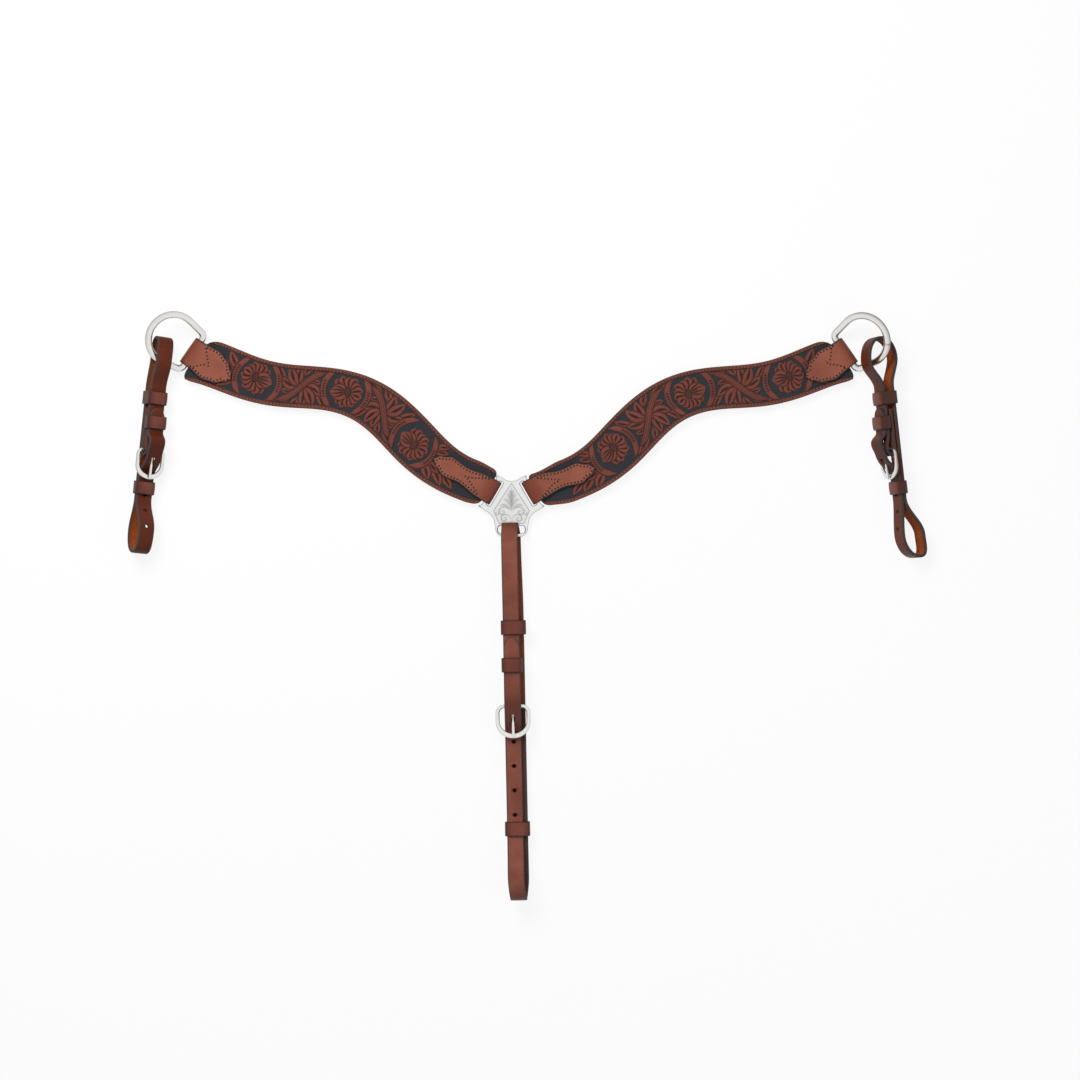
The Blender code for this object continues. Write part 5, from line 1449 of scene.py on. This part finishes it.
def buildStrap(name):
    lay = strapSettings[name]
    base = backLevel(name)
    matrix = strapMatrix(name)
    run = strapRun(name)
    total = lengthsOf(run)[-1]
    tip = strapStock["tip"]
    body = np.arange(0.0, total - tip, strapStock["step"])
    point = total - tip + tip * np.sin(np.linspace(0.0, math.pi / 2.0, 26))
    spots = np.concatenate([body, point[point > body[-1] + 0.0004]])
    path = takeAlong(run, spots)
    left = np.clip((total - spots) / tip, 0.0, 1.0)
    halves = strapStock["width"] / 2.0 * np.maximum(np.sqrt(1.0 - (1.0 - left) ** 2), 0.05)
    rings, marks = bandRings(path, halves, strapStock)
    points, faces = skin(rings, False)
    # painted shade where the buckled end lifts over the buckle
    dark, past, widely, end = strapStock["liftShade"]
    lifted = np.exp(-((path[:, 0] - lay["heel"] - past) / widely) ** 2) * (spots > total - end)
    marks["paintedFoldShade"] = np.maximum(marks["paintedFoldShade"], np.repeat(dark * lifted, rings.shape[1]))
    # painted shade on the back leg's rough side below the buckle, where it lies under the other layers
    hiddenShade = (path[:, 0] > lay["heel"]) & (path[:, 1] < base + 0.002) & (name == "center_strap")
    hiddenBackShade = np.repeat(strapStock["hiddenShade"] * hiddenShade, rings.shape[1]) * (marks["grainSide"] < 0.5)
    marks["edgeDyeAndShade"] = np.maximum(marks["edgeDyeAndShade"], hiddenBackShade)
    paint = "strap" if name == "center_strap" else "tug"
    strap = makePiece(name + "_leather", place(points, matrix), faces, paint, marks)
    # plugs for the tongue's slot in the fold, the screw, and the holes with the buckled one first
    deep = strapStock["thickness"] * strapStock["holePlug"]
    middle = lay["shift"] / 2.0
    tongueSlot, hole = strapStock["tongueSlot"], strapStock["hole"]
    slot = roundBox(2.0 * (foldRadius + strapStock["slotRoom"]), tongueSlot, tongueSlot / 2.001, 9)
    fold = onStrap(name, lay["heel"] + strapStock["slotAhead"], base + heelLevel, middle)
    barrel = arcPoints((0.0, 0.0), strapStock["screwBarrel"] / 2.0 + strapStock["gap"], 0.0, 345.0, 24)
    screw = onStrap(name, lay["heel"] - strapStock["screwSetback"],
                    base + turnLevel + strapStock["screwMiddle"], middle)
    plugs = [plugSkin(slot, fold, 4.0 * foldRadius), plugSkin(barrel, screw, strapStock["screwPlug"])]
    buckled = buckledAt(name, run)
    outline = roundBox(strapStock["buckledHole"], hole, hole / 2.001, 8)
    for i in range(lay["holes"] + 1):
        plugs.append(plugSkin(outline, matrix @ runMatrix(run, buckled - i * lay["holePitch"]), deep))
        outline = arcPoints((0.0, 0.0), hole / 2.0, 0.0, 342.0, 20)
    strap = punch(strap, plugs)
    settle(strap, name, "strap_leather", name + "_strap")


# KEEPERS: leather bands closed round the strap, domed in front, with dyed edges and painted shade where
# they turn
keeperSettings = {
    "corner": 0.0007, "bow": 0.0011, "backBow": 0.3, "bend": 0.0030, "dome": 0.0007,
    "turnShadeFrom": (0.02, 0.55), "sidesShadeFrom": (0.20, 0.46), "sidesShade": 0.55,
}


def buildKeeper(name, which, low, high, extra, middle):
    lay, want = strapSettings[name], keeperSettings
    thick = strapStock["keeper"]
    around = 2.0 * strapStock["keeperRoom"] + thick
    wide = strapStock["width"] + extra + around
    deep = high - low + strapStock["thickness"] + around
    loop = np.array(roundBox(wide, deep, want["bend"], 7))
    loop = np.concatenate([loop, loop[:1]])
    loop = takeAlong(loop, np.linspace(0.0, lengthsOf(loop)[-1], 97)[:-1])
    out = outwardOf(loop)
    hump = 1.0 - np.clip(np.abs(loop[:, 0]) / (wide / 2.0), 0.0, 1.0) ** 2
    bow = want["bow"] * hump * np.where(out[:, 1] > 0.0, 1.0, want["backBow"]) * np.abs(out[:, 1])
    loop = loop + out * bow[:, None]
    # section of the band: along the strap, out from it, grain and dye
    half, level, corner = lay["keeperWidth"] / 2.0, thick / 2.0, want["corner"]
    flat = half - corner
    edge = []
    for arc in np.radians([60.0, 30.0, 0.0, -30.0, -60.0]):
        rise = (level - corner) * np.sign(arc) + corner * math.sin(arc)
        edge.append((flat + corner * math.cos(arc), rise, 1.0, 1.0))
    spots = [(-flat, level, 1.0, 0.7)]
    spots += [(half * share, level, 1.0, 0.0) for share in (-0.82, -0.45, 0.0, 0.45, 0.82)]
    spots += [(flat, level, 1.0, 0.7)] + edge
    spots += [(flat, -level, 0.0, 0.4), (0.0, -level, 0.0, 0.0), (-flat, -level, 0.0, 0.4)]
    spots += [(-spot[0],) + spot[1:] for spot in reversed(edge)]
    along, rise, grain, dye = np.array(spots).T
    dome = want["dome"] * (1.0 - (along / half) ** 2) * (rise == level)
    rings = sweep(loop, out, rise + dome * np.clip(out[:, 1, None], 0.0, 1.0), along, (2, 1, 0))
    points, faces = skin(rings, True)
    # painted shade where the band turns round the strap's edges and towards its sides
    bent = ease(np.abs(out[:, 0]), *want["turnShadeFrom"])
    sidesShade = want["sidesShade"] * ease(np.abs(loop[:, 0]) / wide, *want["sidesShadeFrom"])
    marks = {"grainSide": np.tile(grain, len(loop)), "edgeDyeAndShade": np.tile(dye, len(loop)),
             "paintedFoldShade": np.repeat(np.maximum(bent, sidesShade), len(spots))}
    node = name + "_keeper_" + which
    matrix = onStrap(name, lay[which], (low + high) / 2.0, middle)
    keeper = makePiece(node + "_band", place(points, matrix), faces, "keeper", marks)
    settle(keeper, node, "keeper_leather", node)


# BUCKLES: half-round stock bent into a horseshoe, with a pin tongue on the heel bar
buckleSettings = {
    "bar": 0.0194, "stockShare": 0.88, "bowShare": 0.92, "toeSwell": 1.28, "pinSwell": 1.12,
    # grey and greyFall set the painted shade down the buckle's sides
    "topRound": 0.70, "backRound": 0.45, "pinTaper": 0.30, "pinFlat": 0.12, "grey": 0.72, "greyFall": 1.6,
}


def heelMatrix(name):
    lay = strapSettings[name]
    return onStrap(name, lay["heel"], backLevel(name) + heelLevel, lay["shift"] / 2.0)


def polishedPiece(label, name, rings, closed, turns):
    points, faces = skin(rings, closed)
    # painted shade: the stock is greyer down its sides
    grey = paintedSideShade(turns, buckleSettings["grey"], buckleSettings["greyFall"])
    return makePiece(label, place(points, heelMatrix(name)), faces, "buckle",
                     {"engravingAndShade": np.tile(grey, len(rings))})


def buildBuckle(name):
    lay, want = strapSettings[name], buckleSettings
    stock = strapStock["buckleStock"] * want["stockShare"] / 2.0
    half = lay["buckleWidth"] / 2.0 - stock
    toe, bow = lay["reach"], want["bowShare"] * half
    corner = half - want["bar"] / 2.0
    path = [(0.0, z) for z in np.linspace(-half + corner, half - corner, 24)]
    path += arcPoints((corner, half - corner), corner, 180.0, 90.0, 8)[1:]
    path += [(x, half) for x in np.linspace(corner, toe - bow, 8)[1:-1]]
    path += [(toe - bow + bow * math.sin(turn), half * math.cos(turn))
             for turn in np.linspace(0.0, math.pi, 60)]
    path += [(x, -half) for x in np.linspace(toe - bow, corner, 8)[1:-1]]
    path += arcPoints((corner, -half + corner), corner, 270.0, 180.0, 8)[:-1]
    path = np.array(path)
    onBar = ease(0.0035 - path[:, 0], 0.0, 0.0030)
    onToe = ease(path[:, 0], 0.55 * toe, toe)
    wide = stock * (1.0 + (want["toeSwell"] - 1.0) * onToe)
    wide = wide * (1.0 - onBar) + strapStock["heelBar"] / 2.0 * onBar
    turns = roundTurns(20)
    rise = np.sin(turns)
    lift = np.sign(rise) * np.abs(rise) ** np.where(rise > 0.0, want["topRound"], want["backRound"])
    rings = sweep(path, outwardOf(path), wide[:, None] * np.cos(turns),
                  strapStock["buckleThickness"] / 2.0 * lift, (0, 2, 1))
    buckle = polishedPiece(name + "_horseshoe_buckle", name, rings, True, turns)
    settle(buckle, name + "_buckle", "buckle_silver", name + "_buckle")


# an eye round the heel bar, then a pin that rests on the toe
def buildTongue(name):
    want = buckleSettings
    reach = strapSettings[name]["reach"]
    eye = arcPoints((0.0, 0.0), eyeRadius, 345.0, 90.0, 32)
    pin = [(reach * share, tongueRise(share)) for share in np.linspace(0.08, 1.06, 26)]
    path = np.array(eye + pin)
    flow = np.gradient(path, axis=0)
    flow /= np.linalg.norm(flow, axis=1)[:, None]
    up = np.stack([-flow[:, 1], flow[:, 0]], axis=1)
    share = np.clip(path[:, 0] / reach, 0.0, 1.06) * (np.arange(len(path)) >= len(eye))
    swell = ease(share, 0.1, 0.8)
    taper = strapStock["tongue"] / 2.0 * (1.0 - want["pinTaper"] * ease(share, 0.98, 1.06))
    broad = taper * (1.0 + (want["pinSwell"] - 1.0) * swell)
    flat = taper * (1.0 - want["pinFlat"] * swell)
    turns = roundTurns(16)
    rings = sweep(path, up, flat[:, None] * np.sin(turns), broad[:, None] * np.cos(turns))
    tongue = polishedPiece(name + "_pin_tongue", name, rings, False, turns)
    settle(tongue, name + "_tongue", "buckle_silver", name + "_tongue")


# SCREWS: a two-part post, its cap slotted for a screwdriver
screwSettings = {
    "proud": 0.0008, "rim": 0.0004, "middle": 0.0004, "domeTurn": 1.45, "boreShare": 0.62,
    "boreEnd": -0.0012, "shankEnd": -0.0018, "capShare": 0.8, "slotHalf": 0.0007, "slotDepth": 0.00045,
}


def buildScrew(name):
    lay, want = strapSettings[name], screwSettings
    base = backLevel(name)
    run = strapRun(name)
    lengths = lengthsOf(run)
    # the front leg just past the fold, where the screw comes through
    turnAway = np.hypot(run[:, 0] - lay["heel"] - foldRadius, run[:, 1] - base - heelLevel)
    halfWay = lengths[np.argmin(np.where(lengths < 0.2, turnAway, 9.0))]
    near = (lengths > halfWay) & (lengths < halfWay + 0.05)
    along = lay["heel"] - strapStock["screwSetback"]
    spot = np.argmin(np.where(near, np.abs(run[:, 0] - along), 9.0))
    front = run[spot, 1] + strapStock["thickness"] / 2.0 + want["proud"]
    back = base + turnLevel - strapStock["thickness"] / 2.0 - strapStock["gap"]
    barrel, head = strapStock["screwBarrel"] / 2.0, strapStock["screwHead"] / 2.0
    gap, top, rim, middle = strapStock["gap"], strapStock["screwHeadThickness"], want["rim"], want["middle"]
    bore, length = barrel * want["boreShare"], front - back
    # profiles: radius and level, from the middle out and back again
    dome = [(head * math.cos(turn), rim + (top - rim) * math.sin(turn))
            for turn in np.linspace(0.0, want["domeTurn"], 9)]
    post = [(middle, top)] + dome[::-1] + [(head, 0.0), (barrel, 0.0), (barrel, -length + gap)]
    post += [(bore, -length + gap), (bore, want["boreEnd"]), (middle, want["boreEnd"])]
    shank = bore - gap
    cap = [(middle, want["shankEnd"]), (shank, want["shankEnd"]), (shank, -length), (head, -length)]
    cap += [(x, -length - want["capShare"] * z) for x, z in dome + [(middle, top)]]
    turns = roundTurns(28)
    for part, profile in (("post", post), ("cap", cap)):
        radius, level = np.array(profile).T[:, :, None]
        aside = radius * np.sin(turns)
        slotted = (part == "cap") & (np.abs(aside) < want["slotHalf"]) & (level < -length - rim)
        rings = np.stack([radius * np.cos(turns), level + want["slotDepth"] * slotted, aside], axis=2)
        points, faces = skin(rings, False)
        node = name + "_screw_" + part
        placed = place(points, onStrap(name, along, front, lay["shift"] / 2.0))
        piece = makePiece(node + "_turned", placed, faces, "buckle", {"engravingAndShade": np.zeros(len(points))})
        settle(piece, name, "buckle_silver", node)


for name in strapSettings:
    base = backLevel(name)
    shift = strapSettings[name]["shift"]
    buildStrap(name)
    buildKeeper(name, "upper", base, base + frontLevel, shift, 0.0)
    buildKeeper(name, "middle", base + frontLevel, base + tipLevel, 0.0, shift / 2.0)
    buildKeeper(name, "lower", base, base + layer, shift, 0.0)
    buildBuckle(name)
    buildTongue(name)
    buildScrew(name)
    print("strap buckled:", name)


# STAGE: pale floor, soft light and the camera straight above
stageSettings = {
    "floorSize": 6.0, "floorTone": (0.92, 0.92, 0.92, 1.0), "floorRough": 0.9, "lit": 0.88,
    "worldStrength": 0.28, "pixel": 0.00115, "plateAt": (511.5, 508.0), "imageSize": 1080.0,
    "lens": 85.0, "sensor": 36.0, "farthest": 20.0, "lampsAim": (0.0, 0.05, 0.0),
    # lamps: power, size and place
    "lamps": {"key": (44.0, 1.2, (-0.7, 1.3, 1.7)), "fill": (6.0, 1.2, (1.4, -0.6, 1.6))},
}


def seenDirectly(tree):
    path = tree.nodes.new("ShaderNodeLightPath")
    seen = mathNode(tree, "ADD", path.outputs["Is Camera Ray"], path.outputs["Is Glossy Ray"])
    return mathNode(tree, "ADD", seen, path.outputs["Is Transmission Ray"])


def buildStage():
    want = stageSettings
    reach = want["floorSize"] / 2.0
    mesh = bpy.data.meshes.new("floor")
    corners = [(-reach, -reach, 0.0), (reach, -reach, 0.0), (reach, reach, 0.0), (-reach, reach, 0.0)]
    mesh.from_pydata(corners, [], [(0, 1, 2, 3)])
    floor = linkNew("floor", mesh)
    material, tree, shader = startMaterial("paleFloor")
    shader.inputs["Base Color"].default_value = want["floorTone"]
    shader.inputs["Roughness"].default_value = want["floorRough"]
    glow = addNode(tree, "ShaderNodeEmission", {"Color": (1.0, 1.0, 1.0, 1.0), "Strength": 1.0})
    mix = tree.nodes.new("ShaderNodeMixShader")
    tree.links.new(mathNode(tree, "MULTIPLY", seenDirectly(tree), want["lit"]), mix.inputs[0])
    tree.links.new(shader.outputs[0], mix.inputs[1])
    tree.links.new(glow.outputs[0], mix.inputs[2])
    tree.links.new(mix.outputs[0], tree.nodes["Material Output"].inputs["Surface"])
    mesh.materials.append(material)
    world = bpy.data.worlds.new("studio")
    world.use_nodes = True
    bpy.context.scene.world = world
    sky = world.node_tree.nodes["Background"]
    sky.inputs["Color"].default_value = (1.0, 1.0, 1.0, 1.0)
    tree = world.node_tree
    # white where it is looked at or mirrored, dimmer as light on the object
    feed(tree, mixValue(tree, seenDirectly(tree), want["worldStrength"], 1.0), sky.inputs["Strength"])
    for label, (power, size, spot) in want["lamps"].items():
        lamp = bpy.data.lights.new(label, "AREA")
        lamp.energy, lamp.shape, lamp.size = power, "DISK", size
        light = linkNew(label, lamp)
        # metal mirrors the white surroundings, not the lamps
        light.visible_glossy = False
        light.location = spot
        aim = Vector(want["lampsAim"]) - Vector(spot)
        light.rotation_euler = aim.to_track_quat("-Z", "Y").to_euler()
    # the camera looks straight down on the middle of the picture
    middle = want["imageSize"] / 2.0
    camera = linkNew("camera", bpy.data.cameras.new("camera"))
    camera.data.sensor_width, camera.data.lens = want["sensor"], want["lens"]
    camera.data.clip_end = want["farthest"]
    height = want["imageSize"] * want["pixel"] * want["lens"] / want["sensor"]
    camera.location = (plateCentre.x + (middle - want["plateAt"][0]) * want["pixel"],
                       plateCentre.y - (middle - want["plateAt"][1]) * want["pixel"],
                       height + plateCentre.z)
    bpy.context.scene.camera = camera
    bpy.context.scene.view_settings.view_transform = "Standard"


buildStage()
print("stage set")
